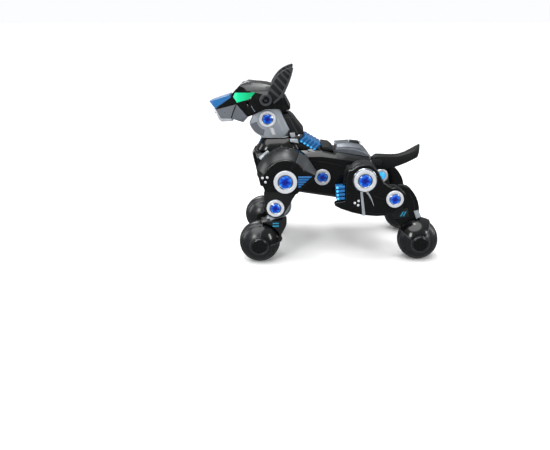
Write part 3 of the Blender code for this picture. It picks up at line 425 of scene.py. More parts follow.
copies = {  # casings that keep the frame's shape: finish, edge radius in mm, body
    "torso_shell_left": ("glossAbs", 0.8, "torso"),
    "back_cover": ("satinAbs", 0.7, "torso"),
    "switch_housing": ("gunmetalPaint", 0.8, "torso"),
    "battery_door": ("satinAbs", 0.6, "torso"),
    "tail_bracket": ("satinAbs", 0.5, "torso"),
    "neck_shell": ("silverPaint", 0.8, "neck"),
    "head_shell": ("glossAbs", 0.6, "head"),
    "muzzle": ("gunmetalPaint", 0.5, "head"),
    "nose_cap": ("blueAbs", 0.5, "head"),
    "eye_left": ("eyeGlow", 0.5, "head"),
    "power_button": ("satinAbs", 0.6, "button"),
    "shin_frame_rear_left": ("satinAbs", 0.8, "shin_rear_left"),
}
for node, (finish, width, body) in copies.items():
    piece = nodeCopy(node, width)
    crease = 16.0 if body == "head" else 32.0
    (pair if "left" in node else settle)(piece, node + "_casing", finish, body, [node], crease)
print("casings copied:", len(copies))


discs = {  # pivot: body, node, ring radius, face the ring stands on, end of its shaft, shaft radius
    "shoulder": ("thigh_front_left", "hip_pin_front_left", 19.4, 92.0, 24.0, 6.0),
    "hip": ("thigh_rear_left", "hip_pin_rear_left", 18.6, 92.0, 24.0, 6.0),
    "frontKnee": ("thigh_front_left", "knee_pin_front_left", 14.7, 90.0, 54.0, 4.0),
    "rearKnee": ("thigh_rear_left", "knee_pin_rear_left", 14.7, 90.0, 54.0, 4.0),
    "neck": ("neck", "neck_pin", 14.5, 28.0, 0.0, 4.6),
    "waist": ("torso", "waist_pin", 14.2, 42.0, 0.0, 4.6),
}
discShape = {"height": 3.6, "lens": 0.57, "bezel": 0.65, "facets": 12}


def jointRing(pivot, body, node, radius, face, end, shaft):
    base, top = face + 0.3, face + discShape["height"]
    lens, bezel = radius * discShape["lens"], radius * discShape["bezel"]
    rim = arcPoints((radius - 1.6, 0.0), 1.6, 90.0, 0.0, 6)
    ring = [(bezel, base + 0.4), (bezel + 0.3, top - 0.7), (bezel + 1.4, top)]
    ring += [(r, top - 1.6 + rise) for r, rise in rim]
    ring += [(radius, base), (shaft, base), (shaft, end), (shaft - 2.0, end), (shaft - 2.0, base + 0.4)]
    piece = turned([(r, -y) for r, y in ring], pivots[pivot])
    pair(piece, "jointRing_" + pivot + "_left", "pearlPaint", body, [node] if "left" in node else [], 40.0)
    if "left" not in node:
        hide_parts(node)
    groove = [
        (lens, base + 0.4), (lens, top - 0.6), (lens + 0.5, top - 0.1),
        (bezel - 0.3, top - 0.3), (bezel - 0.1, top - 1.2), (bezel - 0.1, base + 0.4),
    ]
    pair(turned([(r, -y) for r, y in groove], pivots[pivot]), "lensBezel_" + pivot + "_left", "chromePlate", body)
    facetLens(pivot, body, lens - 0.1, base + 0.4, top)


def facetLens(pivot, body, radius, base, top):
    # three steps of flat facets, each turned half a facet against the last
    x, z = pivots[pivot]
    count = discShape["facets"]
    rings = []
    for share, y, shift in ((1.0, base, 0.0), (1.0, top - 0.9, 0.0), (0.78, top + 0.2, 0.5),
                            (0.42, top + 0.8, 0.0), (0.12, top + 1.0, 0.5)):
        turns = [2.0 * math.pi * (i + shift) / count for i in range(count)]
        rings.append([(x + radius * share * math.cos(t), -y, z + radius * share * math.sin(t)) for t in turns])
    piece = modify(loft(rings), "TRIANGULATE")
    layer = piece.data.uv_layers.new(name="lens")
    for loop in piece.data.loops:
        spot = piece.data.vertices[loop.vertex_index].co
        layer.data[loop.index].uv = ((spot.x / mm - x) / radius, (spot.z / mm - z) / radius)
    pair(piece, "jointLens_" + pivot + "_left", "jewelLensPaintedGlow", body, angle=4.0)


for pivot, values in discs.items():
    jointRing(pivot, *values)
print("joint rings set:", len(discs))


ball = {"radius": 35.0, "half": 29.5, "track": 71.0, "split": 1.5, "cap": 13.5, "rim": 31.0, "hollow": 0.93}
ballHighlightRims = {15.6: 97.55, 32.6: 81.95}  # ring radius: its depth


def ballShape(side, capped):
    # outer line of half a ball, with a ring groove and a hub cap on the outer one
    low = math.degrees(math.asin(ball["split"] / ball["half"]))
    turns = [math.radians(90.0 - (90.0 - low) * i / 60) for i in range(61)]
    line = [(ball["radius"] * math.cos(t), ball["half"] * math.sin(t)) for t in turns]
    shaped = []
    for r, y in line:
        dip = 0.0
        if capped:
            dip += 0.9 * math.exp(-((r - ball["cap"]) / 0.9) ** 2)
            dip += 0.6 if r < ball["cap"] - 2.0 else 0.0
        dip += 0.8 * math.exp(-((r - ball["rim"]) / 0.9) ** 2)
        dip -= 0.3 * math.exp(-((r - ball["rim"] - 1.7) / 0.6) ** 2)
        shaped.append((r, y - dip))
    inner = [(r * ball["hollow"], y * ball["hollow"]) for r, y in reversed(line)]
    return [(r, side * y - ball["track"]) for r, y in shaped + inner]


for end, pivot in (("front", "frontBall"), ("rear", "rearBall")):
    body = "ball_" + end + "_left"
    outer = turned(ballShape(-1.0, True), pivots[pivot], 72)
    pair(outer, "ballOuter_" + end + "_left", "ballAbs", body, ["ball_outer_" + end + "_left"], 24.0)
    cap = turned([(0.0, -100.3), (10.6, -99.6), (11.9, -99.0), (12.3, -98.4), (12.3, -97.0), (0.0, -97.0)],
                 pivots[pivot], 64)
    pair(cap, "ballHub_" + end + "_left", "glossAbs", body)
    # the ball's rim and hub circles, drawn in lighter grey: painted highlight lines
    highlightRims = []
    for radius, depth in ballHighlightRims.items():
        highlightRims.append(turned([(radius - 0.9, -depth + 0.9), (radius - 0.6, -depth - 0.25), (radius, -depth - 0.35),
                            (radius + 0.6, -depth - 0.05), (radius + 0.9, -depth + 1.2)], pivots[pivot], 72))
    pair(joined(highlightRims), "ballRims_" + end + "_left", "greyAbs", body)
    inner = turned(ballShape(1.0, False), pivots[pivot], 72)
    pair(inner, "ballInner_" + end + "_left", "ballAbs", body, ["ball_inner_" + end + "_left"], 24.0)
    core = turned([(0.0, -72.7), (33.0, -72.7), (33.0, -69.3), (0.0, -69.3)], pivots[pivot], 64)
    pair(core, "ballCore_" + end + "_left", "innerAbs", body)
    axle = turned([(0.0, -44.0), (3.0, -44.0), (3.0, -37.9), (0.0, -37.9)], pivots[pivot], 24)
    pair(axle, "ballAxle_" + end + "_left", "stampedSteel", body)
print("ball wheels turned")


shoulder = {
    "inner": 52.0, "waist": 70.0, "face": 92.0,  # distances from the middle plane
    "wide": 51.0, "narrow": 36.0,  # radii of the cone
    "band": (161.0, 64.9),  # first and last turn of the painted band
    "dots": [(-103.6, 152.2), (-95.8, 153.0), (-98.7, 145.0)],
    "feathers": 5, "featherTop": 9.6, "featherStep": 4.0, "featherReach": 43.6, "featherTaper": 4.2,
}
dotShape = [(0.0, 0.0), (2.2, 0.0), (2.1, -0.5), (1.4, -1.0), (0.0, -1.2)]


def dots(spots, face):
    return joined([turned([(r, -face + y) for r, y in dotShape], spot, 20) for spot in spots])


def coneSpot(turn, share, lift):
    # a point on the shoulder's cone: turn in degrees, share 0 at its wide edge and 1 at the face
    radius = shoulder["wide"] + (shoulder["narrow"] - shoulder["wide"]) * share + lift * 0.83
    y = shoulder["waist"] + (shoulder["face"] - shoulder["waist"]) * share + lift * 0.56
    x, z = pivots["shoulder"]
    return (x + radius * math.cos(math.radians(turn)), -y, z + radius * math.sin(math.radians(turn)))


def coneSection(turn, share):
    return [coneSpot(turn, 0.04, -0.5), coneSpot(turn, 0.04, 0.7),
            coneSpot(turn, share, 0.7), coneSpot(turn, share, -0.5)]


def addFrontThigh():
    body = "thigh_front_left"
    broad = near("shoulder", [(-36.0, -16.0), (-48.0, 6.0)] + arcPoints((0.0, 0.0), 51.0, 160.0, 25.0, 37)
                 + [(53.0, 12.0), (48.0, 2.0), (28.0, -12.0), (20.0, -22.0)])
    face = near("shoulder", [(-34.0, -16.0), (-42.5, 6.0)] + arcPoints((0.0, 0.0), 36.0, 152.0, 30.0, 37)
                + [(50.0, 9.0), (45.0, 2.0), (27.0, -12.0), (19.0, -22.0)])
    housing = loft([
        level(broad, -shoulder["inner"]), level(broad, -shoulder["waist"]), level(face, -shoulder["face"])])
    soften(housing, 1.0, 3, 26.0)
    pair(housing, "shoulderHousing_left", "glossAbs", body, ["thigh_shell_front_left"])
    first, last = shoulder["band"]
    band = loft([coneSection(first + (last - first) * i / 40, 0.93) for i in range(41)])
    pair(soften(band, 0.5), "shoulderBand_left", "graphitePaint", body)
    x, z = pivots["shoulder"]
    tailRings = [coneSection(62.0 - 3.0 * i, 0.95) for i in range(11)]
    tailRings.append([(x + 51.6, -70.6, z + 12.6), (x + 52.4, -70.9, z + 13.0),
                      (x + 50.3, -91.0, z + 10.3), (x + 49.5, -90.4, z + 9.8)])
    pair(soften(loft(tailRings), 0.4), "shoulderTail_left", "greyAbs", body)
    arm = near("shoulder", [(-34.0, -12.0), (-36.0, -20.0), (-35.0, -43.5)]
               + arcPoints((-17.0, -45.5), 18.0, 190.0, 330.0, 25)
               + [(6.0, -41.5), (13.0, -29.0), (19.0, -20.0), (10.0, -10.0)])
    pair(soften(plate(arm, -77.0, -90.0), 1.2, 3), "upperArm_left", "grainAbs", body)
    pair(dots(shoulder["dots"], shoulder["face"]), "shoulderDots_left", "pearlPaint", body)
    seams = [
        trimLine([(x + 15.0, -92.0, z + 32.5), (x + 10.6, -92.0, z + 22.6)], 0.7, 0.15),
        trimLine([(x - 32.0, -92.0, z - 14.0), (x - 22.0, -92.0, z - 8.0)], 0.6, 0.15),
    ]
    pair(joined(seams), "shoulderSeam_left", "graphitePaint", body)
    back = near("shoulder", [(21.5, 9.8), (44.0, 9.8), (40.0, 3.0), (34.0, -4.0), (27.5, -10.4), (21.5, -9.5)])
    pair(soften(plate(back, -92.2, -93.1), 0.3), "featherBack_left", "glossAbs", body, ["fins_front_left"])
    feathers = []
    for i in range(shoulder["feathers"]):
        top = shoulder["featherTop"] - shoulder["featherStep"] * i
        reach = shoulder["featherReach"] - shoulder["featherTaper"] * i
        rib = [(21.0, top), (reach, top), (reach - 1.2, top - 2.0), (reach - 3.4, top - 2.9), (21.0, top - 2.9)]
        feathers.append(soften(plate(near("shoulder", rib), -92.6, -95.2), 0.8, 3))
    pair(joined(feathers), "featherRibs_left", "blueAbs", body)


fenders = {  # pivot: end of the body, first and last turn in degrees
    "frontBall": ("front", 2.0, 84.0),
    "rearBall": ("rear", 58.0, 152.0),
}
fenderShape = {"outer": (38.0, 32.5), "inner": (36.2, 30.7), "lip": (38.2, 32.7), "lipInset": 2.2}  # radius, half width


def overBall(size, start, sweep, count):
    # a line over the ball from its inner pole to its outer face, as radius and y
    radius, half = size
    polars = [math.radians(start + sweep * i / (count - 1)) for i in range(count)]
    return [(radius * math.sin(t), -ball["track"] + half * math.cos(t)) for t in polars]


def addFender(pivot):
    end, start, finish = fenders[pivot]
    body = "shin_" + end + "_left"
    x, z = pivots[pivot]
    profile = overBall(fenderShape["outer"], 14.0, 140.0, 29) + overBall(fenderShape["inner"], 14.0, 140.0, 29)[::-1]
    guard = turned(profile, (x, z), 32, start, finish - start)
    pair(soften(guard, 0.55, 2, 40.0), "ballFender_" + end + "_left", "glossAbs", body, ["shin_guard_" + end + "_left"])
    hub = turned([(0.0, -40.0), (11.0, -40.0), (12.0, -39.6), (12.0, -38.9), (11.4, -38.5), (3.4, -38.5),
                  (3.4, -39.2), (0.0, -39.2)], (x, z), 40)
    pair(hub, "axleBearing_" + end + "_left", "glossAbs", body)
    # raised lips along both edges of the fender; their lighter grey is a painted highlight along those edges
    highlightLips = []
    for turn in (start + fenderShape["lipInset"], finish - fenderShape["lipInset"]):
        across, up = math.cos(math.radians(turn)), math.sin(math.radians(turn))
        spots = [(x + r * across, y, z + r * up) for r, y in overBall(fenderShape["lip"], 40.0, 110.0, 15)]
        highlightLips.append(trimLine(spots, 1.6, 0.5, Vector((across, -0.8, up))))
    pair(soften(joined(highlightLips), 0.3), "fenderHighlightLip_" + end + "_left", "greyAbs", body)


def addFrontShin():
    body = "shin_front_left"
    x, z = pivots["frontKnee"]
    disc = arcPoints((x + 6.0, z - 1.0), 21.0, 265.0, -70.0, 61) + [(x - 2.0, z - 25.0), (x - 16.0, z - 24.0)]
    pair(soften(plate(disc, -58.0, -76.0), 1.6, 3), "kneeGuard_left", "silverPaint", body, ["shin_frame_front_left"])
    for i, radius in enumerate((19.2, 14.6)):
        ring = turned([(radius - 1.3, -75.4), (radius, -75.4), (radius, -76.8), (radius - 0.4, -77.0),
                       (radius - 1.0, -77.0), (radius - 1.3, -76.7)], (x + 6.0, z - 1.0), 72)
        pair(ring, "kneeGuardRing" + str(i) + "_left", "chromePlate" if i == 0 else "silverPaint", body)
    block = near("frontKnee", [
        (-15.0, -25.0), (-1.0, -25.6), (11.5, -22.8), (18.5, -26.0), (17.5, -33.0), (9.0, -50.0)])
    block += arcPoints(pivots["frontBall"], 37.4, 20.0, 84.0, 19)
    pair(soften(plate(block, -60.0, -86.0), 1.3, 3), "ankleBlock_front_left", "satinAbs", body)
    slots = []
    for drop in (27.6, 32.4):
        slot = near("frontKnee", [(-5.0, -drop), (5.4, -drop), (5.0, -drop - 2.2), (-5.4, -drop - 2.2)])
        slots.append(soften(plate(slot, -85.6, -86.7), 0.3))
    pair(joined(slots), "ankleSlots_front_left", "tealWindow", body)
    chip = [(x - 13.0, z - 13.5), (x - 7.0, z - 10.5), (x - 2.0, z - 19.5), (x - 8.5, z - 22.8)]
    pair(soften(plate(chip, -77.5, -88.5), 0.6), "kneeChip_front_left", "silverPaint", body)


addFrontThigh()
addFrontShin()
addFender("frontBall")
print("front legs done")


thighFins = {"count": 4, "top": 136.6, "step": 6.4, "left": 17.0, "shift": 0.5}


def addRearThigh():
    body = "thigh_rear_left"
    x, z = pivots["hip"]
    outline = near("hip", [
        (-27.0, 17.0), (-31.5, 6.0), (-32.6, -10.0), (-33.2, -36.5), (-47.0, -38.2), (-50.6, -40.6),
        (-49.6, -44.6), (-40.0, -49.8), (-20.0, -57.0), (0.0, -61.6), (20.0, -63.8), (34.0, -63.0), (46.0, -57.6)]
        + arcPoints((51.0, -33.0), 19.5, -62.0, 108.0, 25)
        + [(33.0, -5.0), (26.0, 6.0)] + arcPoints((0.0, 0.0), 26.5, 20.0, 138.0, 17))
    shell = plate(outline, -77.0, -90.0)
    pair(soften(shell, 2.2, 4, 24.0), "rearThigh_left", "glossAbs", body, ["thigh_shell_rear_left"])
    inner = near("hip", [
        (-27.0, 17.0), (-31.5, 6.0), (-32.6, -10.0), (-33.2, -36.5), (-45.0, -40.0), (-40.0, -48.0),
        (-20.0, -55.0), (0.0, -59.6), (20.0, -61.8), (34.0, -62.6)]
        + arcPoints((51.0, -33.0), 34.4, 243.0, 122.0, 25)
        + [(26.0, 4.0)] + arcPoints((0.0, 0.0), 26.5, 20.0, 138.0, 17))
    pair(soften(plate(inner, -52.0, -77.2), 2.2, 4, 24.0), "rearThighInner_left", "satinAbs", body)
    backing = turned([(0.0, -88.0), (20.6, -88.0), (20.6, -91.4), (19.8, -92.6), (18.8, -92.6), (0.0, -92.0)],
                     pivots["hip"], 72)
    pair(backing, "hipBacking_left", "chromePlate", body)
    strip = plate([(58.4, 128.5), (62.2, 128.0), (67.6, 88.0), (66.8, 84.0), (61.6, 84.6), (62.4, 88.6)], -89.6, -90.7)
    pair(soften(strip, 0.4), "thighStrip_left", "silverPaint", body)
    line = trimLine([(70.0, -90.0, 125.2), (74.5, -90.0, 119.0), (78.4, -90.0, 111.0), (81.8, -90.0, 101.4)],
                    [3.6, 2.6, 1.6, 0.5], 0.7)
    pair(line, "thighDash_left", "silverPaint", body)
    pair(dots([(56.0, 110.2), (49.8, 106.6), (55.4, 102.6)], 90.0), "thighDots_left", "pearlPaint", body)
    seams = [
        trimLine([(37.6, -90.0, 156.0), (35.6, -90.0, 146.0), (35.2, -90.0, 112.0)], 0.9, 0.25),
        trimLine([(82.0, -90.0, 118.6), (94.0, -90.0, 113.5), (100.0, -90.0, 113.0)], 0.8, 0.2),
        trimLine([(68.0, -90.0, 90.0), (90.0, -90.0, 87.4), (112.0, -90.0, 88.2)], 0.8, 0.2),
    ]
    pair(joined(seams), "thighSeams_left", "graphitePaint", body)
    rim = level(arcPoints((x, z), 25.4, 136.0, 28.0, 28), -88.9)
    pair(trimLine(rim, 1.4, 0.5, (0.0, -1.0, 0.35)), "haunchRim_left", "graphitePaint", body)
    fins, tips = [], []
    for i in range(thighFins["count"]):
        top = thighFins["top"] - thighFins["step"] * i
        left = thighFins["left"] + thighFins["shift"] * i
        bar = [(33.0, top - 0.2), (33.0, top - 4.6)] + arcPoints((left + 2.6, top - 3.4), 2.5, 262.0, 98.0, 9)
        fins.append(soften(plate(bar, -75.0, -89.4), 0.9, 3))
        tip = arcPoints((left + 3.0, top - 3.4), 2.2, 0.0, 342.0, 20)
        tips.append(soften(plate(tip, -86.0, -90.2), 1.0, 3, 40.0))
    pair(joined(fins), "thighFins_left", "blueAbs", body, ["fins_rear_left"])
    pair(joined(tips), "finTips_left", "cyanWindowPaintedGlow", body)
    root = [(30.0, 138.0), (33.2, 138.0), (33.2, 110.0), (24.0, 110.5), (23.0, 114.0), (29.0, 116.0)]
    pair(soften(plate(root, -76.0, -87.0), 0.5), "finRoot_left", "glossAbs", body)


def addRearShin():
    body = "shin_rear_left"
    heel = near("rearKnee", [
        (10.5, 15.4), (17.0, 16.4), (25.0, 15.0), (31.0, 10.6), (36.0, 4.4), (40.0, -2.6), (43.0, -10.6),
        (44.8, -19.0), (45.6, -28.0), (48.4, -40.6)])
    heel += arcPoints(pivots["rearBall"], 37.4, 84.0, 142.0, 19)
    heel += near("rearKnee", [(5.0, -42.8), (19.8, -40.6), (17.6, -14.0)])
    pair(soften(plate(heel, -58.0, -76.0), 1.8, 4, 26.0), "heelShell_left", "glossAbs", body)
    panel = near("rearKnee", [(13.0, -24.0), (25.0, -21.0), (28.0, -36.0), (12.0, -41.0), (8.0, -34.0)])
    pair(soften(plate(panel, -75.6, -77.0), 0.4), "heelPanel_left", "satinAbs", body)
    slashes = []
    for left in (16.6, 21.0):
        slash = near("rearKnee", [(left, -27.4), (left + 2.2, -27.0), (left - 1.8, -35.2), (left - 4.0, -35.6)])
        slashes.append(soften(plate(slash, -76.8, -77.7), 0.2))
    pair(joined(slashes), "heelSlashes_left", "tealWindow", body)
    chip = [(152.6, 86.6), (160.4, 88.4), (165.6, 77.4), (157.4, 73.2)]
    pair(soften(plate(chip, -60.0, -80.0), 0.7), "heelChip_left", "silverPaint", body)
    # a raised strip in lighter graphite down the heel shell: painted highlight line
    ridge = near("rearKnee", [(27.0, 6.0), (33.4, -5.0), (36.6, -17.0), (37.4, -27.0)])
    shine = trimLine(level(ridge, -76.0), [0.5, 1.2, 1.2, 0.5], 0.4)
    pair(shine, "heelRidge_left", "graphitePaint", body)


addRearThigh()
addRearShin()
addFender("rearBall")
print("rear legs done")


# knee caps on the inner sides of the legs
for end, pivot in (("front", "frontKnee"), ("rear", "rearKnee")):
    cap = turned([(8.0, -57.0), (8.2, -54.8), (9.0, -53.6), (12.0, -53.8), (13.0, -55.0), (13.0, -57.7),
                  (8.0, -57.7)], pivots[pivot], 56)
    pair(cap, "innerKneeRing_" + end + "_left", "pearlPaint", "thigh_" + end + "_left")
    lens = turned([(0.0, -57.7), (8.1, -57.7), (8.1, -55.6), (6.5, -54.3), (3.5, -53.7), (0.0, -53.5)],
                  pivots[pivot], 40)
    pair(lens, "innerKneeLens_" + end + "_left", "cyanWindowPaintedGlow", "thigh_" + end + "_left")


def rounded(front, rear, half, corner, z, count=8):
    # a level ring with round corners
    ring = []
    for cx, cy, start in ((rear - corner, half - corner, 0.0), (front + corner, half - corner, 90.0),
                          (front + corner, corner - half, 180.0), (rear - corner, corner - half, 270.0)):
        ring += [(px, py, z) for px, py in arcPoints((cx, cy), corner, start, start + 90.0, count)]
    return ring


collarShape = {
    "levels": [  # front, rear, half width, corner radius, height
        (-116.0, -39.2, 37.0, 20.0, 184.3), (-116.0, -39.2, 37.0, 20.0, 187.0), (-111.8, -43.0, 33.4, 19.0, 195.0),
        (-108.0, -47.0, 29.0, 17.0, 203.4), (-106.0, -48.5, 27.0, 16.0, 205.2),
    ],
    "windows": 4, "windowTop": 201.6, "windowStep": 3.9, "windowHalf": 6.4, "windowGrowth": 1.2,
}


def addCollar():
    collar = loft([rounded(*step) for step in collarShape["levels"]])
    settle(soften(collar, 0.5, 2, 40.0), "neckCollar", "glossAbs", "torso", ["chest_collar"], 40.0)
    windows = []
    for i in range(collarShape["windows"]):
        z = collarShape["windowTop"] - collarShape["windowStep"] * i
        x = -108.0 - (203.4 - z) * 0.455  # the collar's sloping front
        half = collarShape["windowHalf"] + collarShape["windowGrowth"] * i
        inner, outer = ([(x + depth, -half, z), (x + depth, half, z), (x + depth - 1.0, half + 0.8, z - 2.0),
                         (x + depth - 1.0, -half - 0.8, z - 2.0)] for depth in (0.6, -0.2))
        windows.append(soften(loft([inner, outer]), 0.3))
    settle(joined(windows), "collarWindows", "cyanWindowPaintedGlow", "torso")
    patch = slab([(-72.0, -29.7, 203.0), (-74.0, -36.2, 189.6), (-58.0, -36.2, 189.6), (-57.6, -29.7, 203.0)], 0.7)
    pair(soften(patch, 0.4), "collarPatch_left", "glossAbs", "torso")


def addNeck():
    x, z = pivots["neck"]
    band = turned([
        (28.6, -27.4), (31.4, -27.4), (32.4, -26.4), (32.4, -1.4), (31.2, -0.9), (31.2, 0.9), (32.4, 1.4),
        (32.4, 26.4), (31.4, 27.4), (28.6, 27.4)], pivots["neck"], 26, 192.0, 58.0)
    settle(band, "throatBand", "platinumPaint", "neck")
    for i, (low, high, finish) in enumerate(((19.6, 30.6, "gunmetalPaint"), (30.9, 32.2, "platinumPaint"))):
        rim = turned([(low, -27.8), (high, -27.8), (high, -28.7), (low, -28.7)], pivots["neck"], 26, 195.0, 60.0)
        pair(soften(rim, 0.3), "throatArc" + str(i) + "_left", finish, "neck")
    bar = near("neck", [(3.4, -15.6), (9.6, -14.8), (14.4, -28.0), (7.6, -28.4)])
    pair(soften(plate(bar, -27.8, -29.2), 0.4), "neckBar_left", "pearlPaint", "neck")
    line = trimLine([(x + 16.6, -28.0, z + 1.0), (x + 26.8, -28.0, z - 21.6)], 1.1, 0.6)
    pair(line, "neckLine_left", "pearlPaint", "neck")
    line = trimLine([(x - 20.0, -28.0, z + 10.2), (x - 7.8, -28.0, z + 16.8), (x + 18.6, -28.0, z + 16.8)], 0.8, 0.4)
    pair(line, "neckTopLine_left", "platinumPaint", "neck")
    ring = loft([rounded(-108.0, -61.0, 26.0, 12.0, 205.9), rounded(-109.6, -59.4, 27.6, 13.0, 206.4),
                 rounded(-109.6, -59.4, 27.6, 13.0, 207.6), rounded(-108.4, -60.6, 26.4, 12.0, 208.2)])
    settle(ring, "neckBaseRing", "pearlPaint", "neck")
    spine = near("neck", [
        (21.6, 8.0), (37.6, 7.0), (43.0, 2.6), (52.0, -9.0), (61.6, -21.4), (63.0, -29.0), (42.0, -30.4),
        (36.0, -29.6)])
    settle(soften(plate(spine, -23.0, 23.0), 2.0, 3), "spineCover", "satinAbs", "neck", ["neck_spine"])
    top = near("neck", [(20.6, 17.3), (29.6, 17.3), (34.6, 10.6), (35.0, 8.0), (22.0, 8.0)])
    settle(soften(plate(top, -14.0, 14.0), 1.0, 3), "spineTop", "glossAbs", "neck")
    line = trimLine([(x + 33.0, -23.0, z + 7.4), (x + 41.0, -23.0, z - 6.0), (x + 52.0, -23.0, z - 27.0)], 1.8, 0.6)
    pair(line, "spineRidge_left", "greyAbs", "neck")
    line = trimLine([(x + 24.6, -23.0, z + 1.2), (x + 44.0, -23.0, z + 1.2)], 0.9, 0.3)
    pair(line, "spineSeam_left", "greyAbs", "neck")
    wedge = near("neck", [(37.6, -25.4), (46.6, -24.8), (47.4, -33.0), (40.0, -33.4)])
    pair(soften(plate(wedge, -20.0, -26.6), 0.6), "neckWedge_left", "platinumPaint", "neck")


bellows = {
    "top": [(-31.4, 208.6), (-3.0, 191.6)], "foot": [(-42.8, 198.6), (-14.4, 180.6)],  # upper and lower edge
    "ribs": 5, "ribHalf": 23.6, "coreHalf": 22.0,
}


def bellowsSpot(share, depth):
    # share 0 at the front rib and 1 at the rear one, depth 0 at the upper edge and 1 at the lower
    (ax, az), (bx, bz) = bellows["top"]
    (cx, cz), (dx, dz) = bellows["foot"]
    upper = (ax + (bx - ax) * share, az + (bz - az) * share)
    lower = (cx + (dx - cx) * share, cz + (dz - cz) * share)
    return (upper[0] + (lower[0] - upper[0]) * depth, upper[1] + (lower[1] - upper[1]) * depth)


def bellowsQuad(first, last, high, low):
    return [bellowsSpot(first, high), bellowsSpot(last, high), bellowsSpot(last, low), bellowsSpot(first, low)]


def addBellows():
    count, half = bellows["ribs"], bellows["ribHalf"]
    ribs = []
    for i in range(count):
        rib = bellowsQuad((i + 0.06) / count, (i + 0.94) / count, 0.0, 1.0)
        ribs.append(soften(plate(rib, -half, half), 1.7, 4))
    settle(joined(ribs), "bellowsRibs", "blueAbs", "torso", ["neck_bellows"])
    core = plate(bellowsQuad(0.0, 1.0, 0.12, 0.86), -bellows["coreHalf"], bellows["coreHalf"])
    settle(soften(core, 0.8), "bellowsCore", "blueAbs", "torso")
    windows = []
    for i in range(count):
        window = bellowsQuad((i + 0.24) / count, (i + 0.76) / count, 0.74, 0.93)
        windows.append(soften(plate(window, 0.4 - half, -0.8 - half), 0.3))
    pair(joined(windows), "bellowsWindows_left", "cyanWindowPaintedGlow", "torso")
    saddle = plate([(-44.0, 184.3), (-43.6, 197.0), (-16.0, 184.6)], -24.0, 24.0)
    settle(soften(saddle, 0.8), "bellowsSaddle", "satinAbs", "torso")
    clip = plate([(-27.0, 184.4), (-21.0, 186.0), (-13.0, 181.0), (-14.0, 178.4), (-20.0, 179.4)], -25.0, -33.0)
    pair(soften(clip, 0.5), "bellowsClip_left", "platinumPaint", "torso")


addCollar()
addNeck()
addBellows()
print("neck done")


crown = {  # panel on top of the head, from the neck's pivot
    "profile": [(-46.0, 57.7), (-33.7, 62.8), (-3.0, 59.0), (7.0, 56.4)],
    "stations": [-42.5, -33.7, -24.0, -14.0, -3.0, 4.5],
    "spans": [-33.0, -28.5, -20.0, -15.0, 0.0, 15.0, 20.0, 28.5, 33.0],
}
napePlates = [
    [(10.0, 53.0), (12.2, 55.0), (28.0, 39.6), (25.6, 37.8)],
    [(27.4, 35.8), (29.8, 36.9), (39.6, 17.4), (37.2, 16.2)],
]


def crownZ(px, py):
    # height of the head shell: its profile, cut by the slopes at its sides
    top = crown["profile"][-1][1]
    for (ax, az), (bx, bz) in zip(crown["profile"], crown["profile"][1:]):
        if ax <= px <= bx:
            top = az + (bz - az) * (px - ax) / (bx - ax)
    side = abs(py)
    slope = 64.5 - (side - 15.0) * 9.5 / 13.5 if side < 28.5 else 55.0 - (side - 28.5) * 12.0 / 8.0
    return min(top, slope)


def addHead():
    x, z = pivots["neck"]
    settle(nodeCopy("mouth_plate", 0.5), "mouthPlate", "platinumPaint", "head", ["mouth_plate"])
    slit = near("neck", [(-91.9, 9.4), (-89.4, 10.2), (-88.6, 8.0), (-91.1, 7.2)])
    settle(soften(plate(slit, -9.0, 9.0), 0.3), "mouthSlit", "glossAbs", "head")
    notch = near("neck", [(-87.6, 0.6), (-84.6, 1.2), (-82.8, -3.8), (-86.4, -2.2)])
    settle(soften(plate(notch, -5.0, 5.0), 0.3), "mouthNotch", "gunmetalPaint", "head")
    seam = trimLine([(x - 53.4, -23.3, z + 25.0), (x - 58.8, -22.7, z + 12.6), (x - 62.6, -22.3, z + 0.8)], 1.5, 0.45)
    pair(seam, "jawSeam_left", "glossAbs", "head")
    line = trimLine([(x - 27.2, -33.2, z + 23.4), (x - 21.2, -34.2, z + 13.6)], 0.7, 0.45)
    pair(line, "cheekLine_left", "silverPaint", "head")
    rings = []
    for px in crown["stations"]:
        share = 0.80 if px < -40.0 else 1.0  # the panel narrows over the brow
        upper = [(x + px, py * share, z + crownZ(px, py * share) + 0.7) for py in crown["spans"]]
        lower = [(x + px, py * share, z + crownZ(px, py * share) - 0.8) for py in reversed(crown["spans"])]
        rings.append(upper + lower)
    settle(soften(loft(rings), 0.4), "crownPanel", "graphitePaint", "head")
    for i, outline in enumerate(napePlates):
        outline = near("neck", outline)
        settle(soften(plate(outline, -13.0, 13.0), 0.7, 3), "napePlate" + str(i), "satinAbs", "head")
        side = plate(outline, -14.2, -27.0)
        pair(soften(side, 0.7, 3), "napeSide" + str(i) + "_left", "graphitePaint", "head")


ear = {  # outline from the ear's pivot, root to tip, and its ribs as shares of the length
    "front": [(1.0, 5.0), (3.4, 12.5), (8.0, 25.0), (12.6, 33.0), (18.5, 40.5), (24.2, 45.6), (30.0, 49.2),
              (37.0, 52.4), (44.6, 54.8)],
    "rear": [(14.0, -6.5), (24.0, 1.5), (29.5, 7.0), (33.4, 15.0), (37.4, 23.6), (41.0, 32.5), (43.8, 41.0),
             (45.6, 48.0), (46.6, 52.6)],
    "ribs": 5, "firstRib": 0.13, "ribStep": 0.145,
}


def along(line, share):
    spot = share * (len(line) - 1)
    i = min(int(spot), len(line) - 2)
    a, b = line[i], line[i + 1]
    return (a[0] + (b[0] - a[0]) * (spot - i), a[1] + (b[1] - a[1]) * (spot - i))


def onEar(share, across):
    # share 0 at the root and 1 at the tip, across 0 at the front edge and 1 at the rear
    a, b = along(ear["front"], share), along(ear["rear"], share)
    return (a[0] + (b[0] - a[0]) * across, a[1] + (b[1] - a[1]) * across)


def earStrip(first, last):
    return [onEar(t / 16.0, first) for t in range(17)] + [onEar(t / 16.0, last) for t in range(16, -1, -1)]


